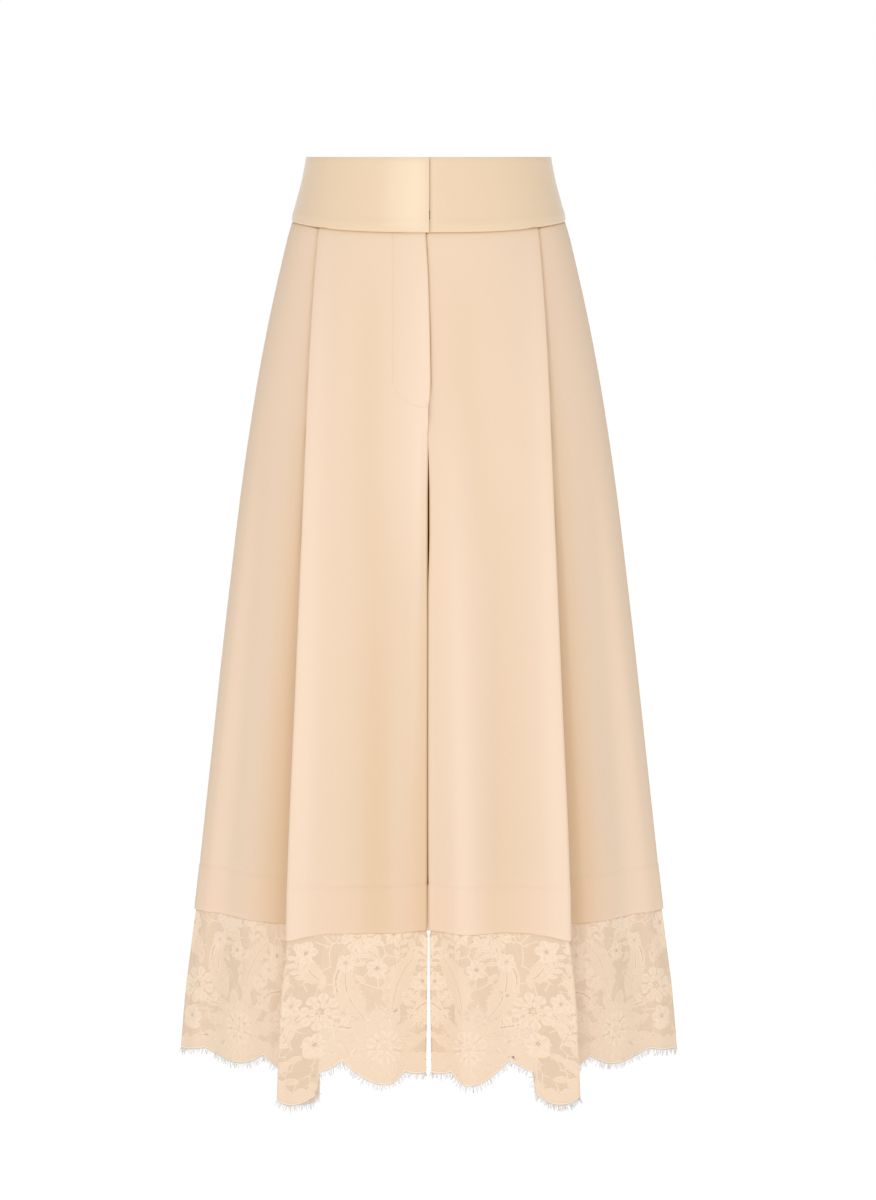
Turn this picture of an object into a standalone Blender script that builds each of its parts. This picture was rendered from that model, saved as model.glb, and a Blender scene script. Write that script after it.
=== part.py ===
"""Culottes in crepe, filled out as on a wearer: a shaped satin waistband with a lapped front, wide legs
with one deep knife pleat each, and a scalloped lace hem that ends in an eyelash fringe.

Every size is in millimetres, and MM turns a point into metres as it is laid in a mesh. Depth is measured
down from the top edge, which lies at z = 0. The front looks along -Y and +X is the wearer's left. A leg is
worked out once, for x above 0, and mirrored for the other leg.
"""

import math
from collections import namedtuple

import bmesh
import bpy
import numpy as np

MM = 0.001

# Main sizes
HEM = 785.0  # depth of the crepe hem
HEM_TURNING = 50.0  # the turned-up hem above it
LACE_START = 770.0  # the lace is sewn inside the hem
LACE_HIGH = 918.0  # the scalloped edge at its highest,
LACE_LOW = 964.0  # and at its lowest
LACE_MEASURED = 900.0  # depth at which the trim's length is measured

# Waistband seam, deepest at the centre front
SEAM_FRONT = 75.0
SEAM_BACK = 70.0
SEAM_SIDE = 66.0

# Cloth
CREPE_WALL = 1.2
BAND_WALL = 1.6
LACE_WALL = 1.0
SEAM_GAP = 0.4
LACE_INSET = 1.5  # the lace's middle surface inside the crepe's

# Crotch seam
CROTCH_FRONT = 275.0
CROTCH_BOTTOM = 320.0
CROTCH_BACK = 255.0
INSEAM_Y = 8.0

# Fly and lap
BAND_LAP = 0.8  # the right side of the band laps past the centre by this much
UNDERLAP_REACH = 9.0  # the left front runs on under the right one
UNDERLAP_SETBACK = 1.7
UNDERLAP_FADE = 26.0  # and is back in the surface this far from the centre
FLY_SPLIT_END = 230.0
FLY_JOINED = 250.0
SHIELD_FROM, SHIELD_TO = -36.0, 10.0
SHIELD_SETBACK = 3.6
SHIELD_END = 252.0
ZIP_FROM, ZIP_TO = -30.0, -10.5
ZIP_SETBACK = 1.8
ZIP_END = 242.0
EXTENSION_REACH = 30.0
EXTENSION_SETBACK = 3.2
HOOK_FROM, HOOK_TO = -18.0, -8.0
BAR_FROM, BAR_TO = -7.6, 1.4
HOOK_TOP = 52.0
HOOK_HEIGHT = 10.0
HOOK_WALL = 0.8
HOOK_SETBACK = 1.6

# How far the edge of the right front laps past the centre
Lap = namedtuple("Lap", "depth reach")
LAPS = (Lap(75, -3.0), Lap(107, -0.9), Lap(175, 1.3), Lap(235, 2.3))

# Eyelash fringe
LASH_LENGTH = 5.0
LASH_WIDTH = 1.2
LASH_STRIP = 1.0  # height of the strip that the lashes grow from
LASH_STRIP_WALL = 0.8
LASH_STRIP_GAP = 0.5
LASH_UNEVEN = 0.25  # share of its length by which a lash may be longer or shorter
LASH_LEAN = 0.2

ROUNDNESS = 2.3  # power of the hip's superellipse

Section = namedtuple("Section", "depth half_width front back")
SECTIONS = (
    Section(0, 124.6, 92.0, 92.0),
    Section(24, 129.4, 94.5, 95.0),
    Section(48, 135.9, 96.5, 98.0),
    Section(75, 142.6, 98.5, 102.0),
    Section(115, 152.3, 102.0, 110.0),
    Section(150, 160.4, 105.0, 117.0),
    Section(208, 172.3, 109.0, 125.0),
    Section(300, 187.8, 113.0, 129.0),
    Section(458, 208.4, 118.0, 131.0),
    Section(648, 230.2, 122.0, 136.0),
    Section(785, 246.2, 125.0, 140.0),
    Section(870, 257.6, 127.0, 143.0),
    Section(960, 265.8, 129.0, 146.0),
)

# Knife pleat: where its outer fold shows, how far the inner fold is tucked in, and the folds' radius
Pleat = namedtuple("Pleat", "depth fold_x tuck radius")
PLEATS = (
    Pleat(66, 109.6, 35.0, 1.2),
    Pleat(110, 113.5, 34.0, 1.3),
    Pleat(200, 119.5, 33.0, 1.5),
    Pleat(320, 124.8, 32.0, 1.8),
    Pleat(543, 134.6, 32.0, 2.5),
    Pleat(735, 142.9, 32.0, 3.0),
    Pleat(785, 144.2, 33.0, 3.2),
    Pleat(850, 150.8, 37.5, 3.4),
    Pleat(960, 156.0, 42.0, 3.6),
)

# Plan of a leg at the hem, y for each share of the way across, and how far the hem sags below HEM there
Across = namedtuple("Across", "share y sag", defaults=(0.0,))
FRONT_AT_HEM = (  # centre front to the pleat's outer fold
    Across(0.0, -124.5),
    Across(0.12, -124.7),
    Across(0.24, -125.2),
    Across(0.42, -126.2),
    Across(0.58, -124.2),
    Across(0.74, -124.6, 0.3),
    Across(0.88, -127.0, 3.0),
    Across(1.0, -130.0, 6.0),
)
SAG_START = 610.0  # depth at which the sag begins
FOLD_POINTS = 3  # round each fold of the pleat
INNER_FOLD_AT_HEM = -93.5
INNER_FOLD_TUCKED = 3.0  # at the waist the inner fold lies this many fold radii behind the front,
SIDE_TUCKED = 4.0  # and the layer under both this many
SIDE_AT_HEM = (  # the pleat's inner fold to the side seam
    Across(0.16, -87.5),
    Across(0.30, -79.5),
    Across(0.45, -65.5),
    Across(0.60, -49.5),
    Across(0.73, -35.0),
    Across(0.84, -22.5),
    Across(0.92, -14.0),
    Across(0.975, -6.5),
)
BACK_AT_HEM = (  # side seam to the centre back
    Across(0.03, 8.0),
    Across(0.09, 22.0),
    Across(0.19, 45.0),
    Across(0.31, 74.0),
    Across(0.43, 101.0),
    Across(0.54, 123.0),
    Across(0.64, 136.0),
    Across(0.76, 136.5),
    Across(0.88, 141.0),
    Across(1.0, 138.0),
)
SEAM_STRAIGHT = 3.0  # beside a side seam or inseam the wall runs straight for this far

# The corner between a leg's front or back and its inner side, and the inner side itself
Corner = namedtuple("Corner", "share drop")
CORNERS = (Corner(0.0, 16.0), Corner(0.12, 9.0), Corner(0.24, 0.0))
Inner = namedtuple("Inner", "share bow")
INNER_SIDE = (  # corner to inseam
    Inner(0.12, 0.4),
    Inner(0.30, 2.5),
    Inner(0.55, 5.5),
    Inner(0.80, 7.6),
    Inner(0.97, 8.0),
    Inner(1.0, 8.0),
)

# The scalloped edge: its highs and lows along the trim. A front's run from its inner corner, with the
# inner side below 0, round the pleat's two folds to the side seam. A back's repeat.
Turn = namedtuple("Turn", "along depth")
FRONT_EDGE = (
    Turn(-113.0, 936.0),
    Turn(-84.0, 944.0),
    Turn(-46.0, 923.0),
    Turn(8.0, 936.0),
    Turn(24.0, 932.0),
    Turn(46.0, 944.0),
    Turn(90.5, 918.6),
    Turn(113.5, 929.0),
    Turn(116.5, 954.0),
    Turn(139.0, 963.0),
    Turn(163.9, 952.0),
    Turn(190.0, 963.0),
    Turn(216.0, 948.0),
    Turn(277.0, 924.0),
    Turn(312.0, 938.0),
    Turn(359.0, 930.0),
    Turn(395.0, 935.0),
)
BACK_REPEAT = 130.0
Scallop = namedtuple("Scallop", "share depth")
BACK_EDGE = (  # one repeat, a deep scallop between two halves of a shallow one
    Scallop(0.17, 922.0),
    Scallop(0.5, 944.0),
    Scallop(0.83, 922.0),
    Scallop(1.0, 934.0),
)

HALF_GAP_AT_CROTCH = 1.0
HALF_GAP_AT_HEM = 1.6
HALF_GAP_AT_EDGE = 1.7

BAND_LEVELS = (0.0, 24.0, 48.0)
BAND_FRONT_SHARES = (0.09, 0.18, 0.32, 0.46, 0.6, 0.72, 0.82, 0.9, 0.95, 0.985)  # of the half width
BAND_BACK_SHARES = (0.985, 0.95, 0.9, 0.82, 0.72, 0.6, 0.45, 0.3, 0.15)
FLY_LEVELS = (84.0, 115.0, 150.0, 195.0, 230.0)
LEG_LEVELS = (84.0, 115.0, 150.0, 195.0, 230.0, 250.0, 275.0, 320.0, 400.0, 500.0, 610.0, 735.0, 785.0)
BACK_LEVELS = (84.0, 115.0, 150.0, 195.0, 225.0, 255.0, 320.0, 400.0, 500.0, 610.0, 735.0, 785.0)
LACE_LEVELS = (785.0, 855.0)
LACE_STEP = 10.0  # the longest step along the lace
SHARPEST_TURN = 0.6  # cosine of half the sharpest turn that the lace's inset follows exactly


# ---------------------------------------------------------------- numbers


def smooth(table, column, depth):
    """The column's value at a depth, on a smooth curve through the table's rows."""
    depths = np.array([row.depth for row in table], float)
    values = np.array([getattr(row, column) for row in table], float)
    slopes = np.gradient(values, depths)
    depth = min(max(depth, depths[0]), depths[-1])
    i = min(int(np.searchsorted(depths, depth, "right")) - 1, len(depths) - 2)
    step = depths[i + 1] - depths[i]
    t = (depth - depths[i]) / step
    return (
        values[i] * (1 + 2 * t) * (1 - t) ** 2
        + slopes[i] * step * t * (1 - t) ** 2
        + values[i + 1] * t * t * (3 - 2 * t)
        + slopes[i + 1] * step * t * t * (t - 1)
    )


def mix(a, b, share):
    return a + (b - a) * share


def share_of(value, low, high):
    return min(max((value - low) / (high - low), 0.0), 1.0)


def hip(x, half_width, reach):
    """How far the hip's rounded outline stands out at x."""
    inside = max(0.0, 1 - (max(x, 0.0) / half_width) ** ROUNDNESS)
    return reach * inside ** (1 / ROUNDNESS)


def flare(depth):
    """0 at the waist seam, 1 at the hem, and a little more in the lace: how far the pleat has opened."""
    return max(0.0, (depth - SEAM_FRONT) / (HEM - SEAM_FRONT))


def parting(depth, crotch):
    """0 at the crotch, 1 at the hem."""
    return max(0.0, (depth - crotch) / (HEM - crotch))


def half_gap(depth, crotch):
    """Half the space between the legs, from middle surface to middle surface."""
    if depth < HEM:
        return mix(HALF_GAP_AT_CROTCH, HALF_GAP_AT_HEM, parting(depth, crotch))
    return mix(HALF_GAP_AT_HEM, HALF_GAP_AT_EDGE, (depth - HEM) / (LACE_LOW - HEM))


def unit(vector):
    return vector / np.linalg.norm(vector)


def fold(before, tip, after, radius, left_turn):
    """Points round a fold whose outermost point is tip."""
    heading, leaving = unit(tip - before), unit(after - tip)
    centre = tip - radius * unit(heading - leaving)
    turn = left_turn * (heading[0] * leaving[1] - heading[1] * leaving[0])
    angle = math.atan2(turn, float(heading @ leaving)) % (2 * math.pi)
    start = math.atan2(-left_turn * heading[0], left_turn * heading[1])
    angles = [start + left_turn * angle * i / (FOLD_POINTS - 1) for i in range(FOLD_POINTS)]
    return [centre + radius * np.array((math.cos(a), math.sin(a))) for a in angles]


# ---------------------------------------------------------------- plan sections of one leg


def front_section(depth, centre_x=0.0):
    """Plan points of a front from its centre edge, through the pleat, to the side seam."""
    width, reach = smooth(SECTIONS, "half_width", depth), smooth(SECTIONS, "front", depth)
    fold_x, tuck = smooth(PLEATS, "fold_x", depth), smooth(PLEATS, "tuck", depth)
    radius, open_by = smooth(PLEATS, "radius", depth), flare(depth)
    corner = parting(depth, CROTCH_FRONT)

    def laid(x, tucked_by, hem_y, opened=min(open_by, 1.0)):
        return mix(tucked_by - hip(x, width, reach), hem_y, opened)

    points = []
    for row in FRONT_AT_HEM[:-1]:
        x = mix(centre_x, fold_x, row.share)
        drop = corner * np.interp(row.share, *zip(*CORNERS))
        points.append(np.array((x, laid(x, 0.0, row.y, open_by) + drop)))
    outer = np.array((fold_x, laid(fold_x, 0.0, FRONT_AT_HEM[-1].y, open_by)))
    inner_x = fold_x - tuck
    inner = np.array((inner_x, laid(inner_x, INNER_FOLD_TUCKED * radius, INNER_FOLD_AT_HEM)))
    side = []
    for row in SIDE_AT_HEM:
        x = mix(inner_x, width, row.share)
        tucked = SIDE_TUCKED * radius * (1 - share_of(x, fold_x, width))
        side.append(np.array((x, laid(x, tucked, row.y))))
    side.append(np.array((width, -SEAM_STRAIGHT)))
    side.append(np.array((width, -SEAM_GAP / 2)))
    points += fold(points[-1], outer, inner, radius, left_turn=1)
    points.append((outer + inner) / 2)
    points += fold(outer, inner, side[0], radius, left_turn=-1)
    return points + side


def back_section(depth):
    """Plan points of a back from the side seam to its centre edge."""
    width, reach = smooth(SECTIONS, "half_width", depth), smooth(SECTIONS, "back", depth)
    corner, edge = parting(depth, CROTCH_BACK), back_edge(depth)
    opened = min(flare(depth), 1.0)
    points = [np.array((width, SEAM_GAP / 2)), np.array((width, SEAM_STRAIGHT))]
    for row in BACK_AT_HEM:
        x = mix(width, edge, row.share)
        drop = corner * np.interp(1 - row.share, *zip(*CORNERS))
        points.append(np.array((x, mix(hip(x, width, reach), row.y, opened) - drop)))
    return points


def back_edge(depth):
    return half_gap(depth, CROTCH_BACK) if depth >= CROTCH_BACK else SEAM_GAP / 2


def front_edge(depth, lapped):
    """The centre edge's x on its own side: past the centre where the fronts lap."""
    if depth >= CROTCH_FRONT:
        return half_gap(depth, CROTCH_FRONT)
    reach = smooth(LAPS, "reach", depth) if lapped else UNDERLAP_REACH
    return mix(-reach, SEAM_GAP / 2, share_of(depth, FLY_SPLIT_END, FLY_JOINED))


def set_back(point, amount, reach=UNDERLAP_FADE):
    """A point near the centre front moved back by the whole amount at the centre and less further out."""
    return point + np.array((0.0, amount * (1 - share_of(point[0], 0.0, reach))))


def inner_column(row, level, crotch, section):
    """(plan point, depth) of one column of a leg's inner side, whose top is the crotch seam."""
    top = mix(crotch, CROTCH_BOTTOM, math.sin(row.share * math.pi / 2))
    depth = mix(top, HEM, parting(level, crotch)) if level < HEM else level
    corner = section(depth)
    towards = 1 if corner[1] < 0 else -1
    y = mix(corner[1], INSEAM_Y - towards * SEAM_GAP / 2, row.share)
    x = half_gap(depth, crotch) + row.bow * (depth - top) / (HEM - top)
    return np.array((x, y)), depth


def sags():
    """The hem's sag for each column of a front's section: most at the outer fold, none past the inner one."""
    outer = FRONT_AT_HEM[-1].sag
    panel = [row.sag for row in FRONT_AT_HEM[:-1]] + [outer] * FOLD_POINTS
    side_points = FOLD_POINTS + len(SIDE_AT_HEM) + 2
    return panel + [outer / 2] + [0.0] * side_points


def front_line(level, lapped=True, seam=False):
    """One row of a front: (plan point, depth) from the inseam to the side seam, None above the crotch."""
    line = [None] * len(INNER_SIDE)
    if level >= CROTCH_FRONT:
        corner = lambda depth: front_section(depth, half_gap(depth, CROTCH_FRONT))[0]
        line = [inner_column(row, level, CROTCH_FRONT, corner) for row in reversed(INNER_SIDE)]
    setback = 0.0 if lapped else UNDERLAP_SETBACK * (1 - share_of(level, FLY_JOINED, CROTCH_FRONT))
    for column, (point, sag) in enumerate(zip(front_section(level, front_edge(level, lapped)), sags())):
        depth = level + sag * share_of(level, SAG_START, HEM)
        if seam:
            depth = seam_depth(point[0], level, SEAM_FRONT) + SEAM_GAP / 2
        if depth != level:
            point = front_section(depth, front_edge(depth, lapped))[column]
        line.append((set_back(point, setback), depth))
    return line


def back_line(level, seam=False):
    """One row of a back: (plan point, depth) from the side seam to the inseam."""
    line = []
    for column, point in enumerate(back_section(level)):
        depth = level
        if seam:
            depth = seam_depth(point[0], level, SEAM_BACK) + SEAM_GAP / 2
            point = back_section(depth)[column]
        line.append((point, depth))
    if level < CROTCH_BACK:
        return line + [None] * len(INNER_SIDE)
    corner = lambda depth: back_section(depth)[-1]
    return line + [inner_column(row, level, CROTCH_BACK, corner) for row in INNER_SIDE]


def seam_depth(x, level, centre):
    """Depth of the waist seam, which rises towards the sides."""
    out = share_of(abs(x), 0.0, smooth(SECTIONS, "half_width", level))
    return mix(centre, SEAM_SIDE, out**3)


# ---------------------------------------------------------------- meshes


def material(name, colour, roughness, metallic=0.0):
    made = bpy.data.materials.new(name)
    made.use_nodes = True
    shader = made.node_tree.nodes["Principled BSDF"]
    shader.inputs["Base Color"].default_value = (*colour, 1.0)
    shader.inputs["Roughness"].default_value = roughness
    shader.inputs["Metallic"].default_value = metallic
    made.diffuse_color = (*colour, 1.0)
    return made


def lay(plan, depth, side):
    """A point of the leg at x above 0 as a place on the named side, in metres."""
    return (side * plan[0] * MM, plan[1] * MM, -depth * MM)


def add_object(name, mesh_builder, finish, collection):
    mesh = bpy.data.meshes.new(name)
    mesh_builder.normal_update()
    mesh_builder.to_mesh(mesh)
    mesh_builder.free()
    mesh.materials.append(finish)
    mesh.shade_smooth()
    obj = bpy.data.objects.new(name, mesh)
    collection.objects.link(obj)
    return obj


def cloth(name, lines, side, wall, finish, collection):
    """A wall of cloth through rows of (plan point, depth), on one side of the body or the other."""
    sheet = bmesh.new()
    grid = [[p and sheet.verts.new(lay(*p, side)) for p in line] for line in lines]
    for upper, lower in zip(grid, grid[1:]):
        for a, b, c, d in zip(upper, upper[1:], lower[1:], lower):
            if a and b and c and d:
                sheet.faces.new((d, c, b, a) if side > 0 else (a, b, c, d))
    obj = add_object(name, sheet, finish, collection)
    thick = obj.modifiers.new("cloth", "SOLIDIFY")
    thick.thickness = wall * MM
    thick.offset = 0.0
    thick.use_even_offset = True
    thick.use_quality_normals = True
    return obj


def inward(plans):
    """Unit normals towards the inside of a leg, straight across at both seams."""
    plans = np.array(plans)
    steps = np.diff(plans, axis=0)
    steps /= np.linalg.norm(steps, axis=1)[:, None]
    headings = np.vstack([steps[:1], steps[:-1] + steps[1:], steps[-1:]])
    headings /= np.linalg.norm(headings, axis=1)[:, None]
    normals = np.stack([-headings[:, 1], headings[:, 0]], axis=1)
    reach = np.ones(len(plans))
    reach[1:-1] = 1 / np.maximum((headings[1:-1] * steps[1:]).sum(1), SHARPEST_TURN)
    return normals * reach[:, None]


def divided(line, counts):
    """A row's places as (x, y, depth), with each step cut into equal parts."""
    places = np.array([(*plan, depth) for plan, depth in line])
    parts = [mix(a, b, i / n) for a, b, n in zip(places, places[1:], counts) for i in range(n)]
    return np.array(parts + [places[-1]])


def lace_edge(turns, along):
    """Depth of the scalloped edge, round at its lows and pointed at its highs."""
    for start, end in zip(turns, turns[1:]):
        if along <= end.along:
            break
    angle = share_of(along, start.along, end.along) * math.pi / 2
    if end.depth > start.depth:
        return mix(start.depth, end.depth, math.sin(angle))
    return mix(end.depth, start.depth, math.cos(angle))


def back_edge_turns(length):
    """Even repeats from the side seam to the inseam, meeting the front's edge at both."""
    count = round(length / BACK_REPEAT)
    turns = [Turn(length * (i + row.share) / count, row.depth) for i in range(count) for row in BACK_EDGE]
    return [Turn(0.0, FRONT_EDGE[-1].depth), *turns[:-1], Turn(length, FRONT_EDGE[0].depth)]


def lace_lines(line_at, front):
    """Rows of the lace: inside the crepe near the hem, and hanging free below."""
    hem = line_at(HEM)
    lengths = [np.linalg.norm(b[0] - a[0]) for a, b in zip(hem, hem[1:])]
    counts = [max(1, math.ceil(length / LACE_STEP)) for length in lengths]

    def row(level):
        return divided(line_at(level), counts)

    along = np.linalg.norm(np.diff(row(LACE_MEASURED)[:, :2], axis=0), axis=1)
    along = np.concatenate([[0.0], np.cumsum(along)])
    turns = FRONT_EDGE if front else back_edge_turns(along[-1])
    if front:
        along -= along[sum(counts[: len(INNER_SIDE)])]
    edge = np.array([lace_edge(turns, place) for place in along])
    sewn = share_of(LACE_START, HEM - HEM_TURNING, HEM)
    rows = [mix(row(HEM - HEM_TURNING), row(HEM), sewn)] + [row(level) for level in LACE_LEVELS]
    high, low = row(LACE_HIGH), row(LACE_LOW)
    rows.append(mix(high, low, ((edge - high[:, 2]) / (low - high)[:, 2])[:, None]))
    return [list(zip(places[:, :2] + LACE_INSET * inward(places[:, :2]), places[:, 2])) for places in rows]


def lashes(name, edge, side, finish, collection):
    """A narrow strip just below the lace's edge, with a tapered lash under each of its inner columns."""
    plans = np.array([p for p, _ in edge])
    depths = np.array([d for _, d in edge])
    outs = -inward(plans)
    steps = np.linalg.norm(np.diff(np.column_stack([plans, depths]), axis=0), axis=1)
    along = np.concatenate([[0.0], np.cumsum(steps)])
    roots = [place + half for place in along[1:-1] for half in (-LASH_WIDTH / 2, LASH_WIDTH / 2)]
    strip = bmesh.new()
    rings = []
    for place in (along[0], *roots, along[-1]):
        middle = np.array([np.interp(place, along, column) for column in plans.T])
        out = unit(np.array([np.interp(place, along, column) for column in outs.T]))
        top = float(np.interp(place, along, depths)) + LASH_STRIP_GAP
        low = top + LASH_STRIP
        shift = LASH_STRIP_WALL / 2 * out
        corners = ((middle + shift, top), (middle - shift, top), (middle - shift, low), (middle + shift, low))
        rings.append([strip.verts.new(lay(*corner, side)) for corner in corners])
    for number, (ring, following) in enumerate(zip(rings, rings[1:])):
        for k in range(4):
            face = (ring[k], ring[(k + 1) % 4], following[(k + 1) % 4], following[k])
            if k == 2 and number % 2 == 1:
                grow_lash(strip, face, number, side)
            else:
                strip.faces.new(face[::-1] if side > 0 else face)
    strip.faces.new(rings[0] if side > 0 else rings[0][::-1])
    strip.faces.new(rings[-1][::-1] if side > 0 else rings[-1])
    return add_object(name, strip, finish, collection)


def grow_lash(strip, face, number, side):
    """One lash: the root face drawn out to a point, square to the edge and a little uneven."""
    places = [vert.co.copy() for vert in face]
    middle = sum(places, places[0] * 0) / 4
    run = (places[2] + places[3] - places[0] - places[1]).normalized()
    down = (run.cross(places[1] - places[0])).normalized()
    if down.z > 0:
        down.negate()
    length = LASH_LENGTH * (1 + LASH_UNEVEN * math.sin(2.3 * number))
    lean = LASH_LEAN * math.sin(1.7 * number)
    tip = strip.verts.new(middle + (down + lean * run) * length * MM)
    for a, b in zip(face, face[1:] + face[:1]):
        strip.faces.new((b, a, tip) if side > 0 else (a, b, tip))


# ---------------------------------------------------------------- pieces


def leg(side, name, crepe, lace, fringe, collection):
    """One leg: front with its pleat, back, lace and fringe."""
    lapped = side < 0
    seam = front_line(SEAM_FRONT, lapped, seam=True)
    lines = [seam] + [front_line(level, lapped) for level in LEG_LEVELS]
    cloth(f"front_{name}", lines, side, CREPE_WALL, crepe, collection)
    lines = [back_line(SEAM_BACK, seam=True)] + [back_line(level) for level in BACK_LEVELS]
    cloth(f"back_{name}", lines, side, CREPE_WALL, crepe, collection)
    front = lace_lines(front_line, front=True)
    cloth(f"lace_front_{name}", front, side, LACE_WALL, lace, collection)
    back = lace_lines(back_line, front=False)
    cloth(f"lace_back_{name}", back, side, LACE_WALL, lace, collection)
    lashes(f"lashes_front_{name}", front[-1], side, fringe, collection)
    lashes(f"lashes_back_{name}", back[-1], side, fringe, collection)


def band_line(level, seam_centre, section):
    """One row of the waistband, level or along the waist seam."""
    line = []
    for column, point in enumerate(section(level)):
        depth = seam_depth(point[0], level, seam_centre) - SEAM_GAP / 2 if level > BAND_LEVELS[-1] else level
        line.append((section(depth)[column], depth))
    return line


def band_front_section(depth, reach, setback):
    """Plan points of a front band from its centre edge, reach past the centre, to the side seam."""
    width, out = smooth(SECTIONS, "half_width", depth), smooth(SECTIONS, "front", depth)
    places = [-reach, -reach / 2, 0.0] if setback else [-reach]
    places += [width * share for share in BAND_FRONT_SHARES]
    points = [np.array((x, -hip(abs(x), width, out))) for x in places]
    points += [np.array((width, -SEAM_STRAIGHT)), np.array((width, -SEAM_GAP / 2))]
    return [set_back(point, setback) for point in points]


def band_back_section(depth):
    """Plan points of the back band from the left side seam to the right one."""
    width, out = smooth(SECTIONS, "half_width", depth), smooth(SECTIONS, "back", depth)
    places = [width * share for share in BAND_BACK_SHARES]
    half = [np.array((width, SEAM_GAP / 2)), np.array((width, SEAM_STRAIGHT))]
    half += [np.array((x, hip(x, width, out))) for x in places]
    return half + [np.array((0.0, out))] + [p * np.array((-1, 1)) for p in reversed(half)]


def waistband(satin, collection):
    levels = BAND_LEVELS + (SEAM_FRONT,)
    right = lambda depth: band_front_section(depth, BAND_LAP, 0.0)
    left = lambda depth: band_front_section(depth, EXTENSION_REACH, EXTENSION_SETBACK)
    for name, side, section in (("right", -1, right), ("left", 1, left)):
        lines = [band_line(level, SEAM_FRONT, section) for level in levels]
        cloth(f"waistband_front_{name}", lines, side, BAND_WALL, satin, collection)
    lines = [band_line(level, SEAM_BACK, band_back_section) for level in levels]
    cloth("waistband_back", lines, 1, BAND_WALL, satin, collection)


def behind_front(x, depth, setback):
    """A plan point behind the centre front's surface."""
    width, reach = smooth(SECTIONS, "half_width", depth), smooth(SECTIONS, "front", depth)
    level = mix(-hip(abs(x), width, reach), FRONT_AT_HEM[0].y, flare(depth))
    return np.array((x, level + setback))


def strip_behind(name, across, depths, setback, wall, finish, collection):
    """A flat strip behind the centre front, as wide and deep as the given places."""
    lines = [[(behind_front(x, depth, setback), depth) for x in across] for depth in depths]
    return cloth(name, lines, 1, wall, finish, collection)


def closure(crepe, tape, steel, collection):
    """What lies behind the lap: fly shield, zip, and the hook with its bar."""
    top = SEAM_FRONT + SEAM_GAP
    across = [SHIELD_FROM, SHIELD_FROM / 2, 0.0, SHIELD_TO]
    levels = [top, *FLY_LEVELS, SHIELD_END]
    strip_behind("fly_shield", across, levels, SHIELD_SETBACK, CREPE_WALL, crepe, collection)
    levels = [top, *FLY_LEVELS, ZIP_END]
    strip_behind("fly_zip", [ZIP_FROM, ZIP_TO], levels, ZIP_SETBACK, CREPE_WALL, tape, collection)
    levels = [HOOK_TOP, HOOK_TOP + HOOK_HEIGHT]
    strip_behind("waist_hook", [HOOK_FROM, HOOK_TO], levels, HOOK_SETBACK, HOOK_WALL, steel, collection)
    strip_behind("waist_bar", [BAR_FROM, BAR_TO], levels, HOOK_SETBACK, HOOK_WALL, steel, collection)


def main():
    for obj in list(bpy.data.objects):
        bpy.data.objects.remove(obj)
    culottes = bpy.data.collections.new("culottes")
    bpy.context.scene.collection.children.link(culottes)
    crepe = material("crepe", (0.84, 0.66, 0.49), 0.85)
    satin = material("satin", (0.83, 0.65, 0.44), 0.45)
    lace = material("lace", (0.88, 0.69, 0.51), 0.8)
    fringe = material("fringe", (0.87, 0.76, 0.66), 0.85)
    tape = material("zip tape", (0.8, 0.62, 0.45), 0.8)
    steel = material("steel", (0.45, 0.42, 0.38), 0.35, 1.0)
    waistband(satin, culottes)
    leg(1, "left", crepe, lace, fringe, culottes)
    leg(-1, "right", crepe, lace, fringe, culottes)
    closure(crepe, tape, steel, culottes)


main()
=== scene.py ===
import math
from collections import namedtuple

import bmesh
import bpy
import numpy as np
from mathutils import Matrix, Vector


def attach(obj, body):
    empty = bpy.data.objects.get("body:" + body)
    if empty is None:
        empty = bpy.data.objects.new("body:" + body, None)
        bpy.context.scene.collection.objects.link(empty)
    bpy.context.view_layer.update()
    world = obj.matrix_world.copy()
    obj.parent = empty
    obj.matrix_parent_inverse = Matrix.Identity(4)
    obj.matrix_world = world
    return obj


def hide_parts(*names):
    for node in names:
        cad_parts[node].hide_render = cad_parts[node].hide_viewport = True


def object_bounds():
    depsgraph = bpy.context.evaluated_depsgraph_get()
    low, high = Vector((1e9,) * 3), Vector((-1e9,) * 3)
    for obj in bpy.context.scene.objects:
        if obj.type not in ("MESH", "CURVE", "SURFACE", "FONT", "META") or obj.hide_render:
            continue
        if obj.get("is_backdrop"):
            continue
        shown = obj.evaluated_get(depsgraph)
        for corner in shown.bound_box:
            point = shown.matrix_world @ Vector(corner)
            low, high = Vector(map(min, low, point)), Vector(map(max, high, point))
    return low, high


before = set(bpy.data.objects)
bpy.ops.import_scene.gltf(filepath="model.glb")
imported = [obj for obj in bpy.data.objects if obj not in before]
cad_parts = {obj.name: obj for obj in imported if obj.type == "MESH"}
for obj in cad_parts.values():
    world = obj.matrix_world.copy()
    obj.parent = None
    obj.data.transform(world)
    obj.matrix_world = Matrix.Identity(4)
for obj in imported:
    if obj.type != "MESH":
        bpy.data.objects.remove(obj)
cadBox = [list(corner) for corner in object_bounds()]
mm = 0.001

# Places are worked out in millimetres as (x, y, depth), with depth measured down from the band's top edge.
# A leg is made for x above 0 and mirrored for the other side.

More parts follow.
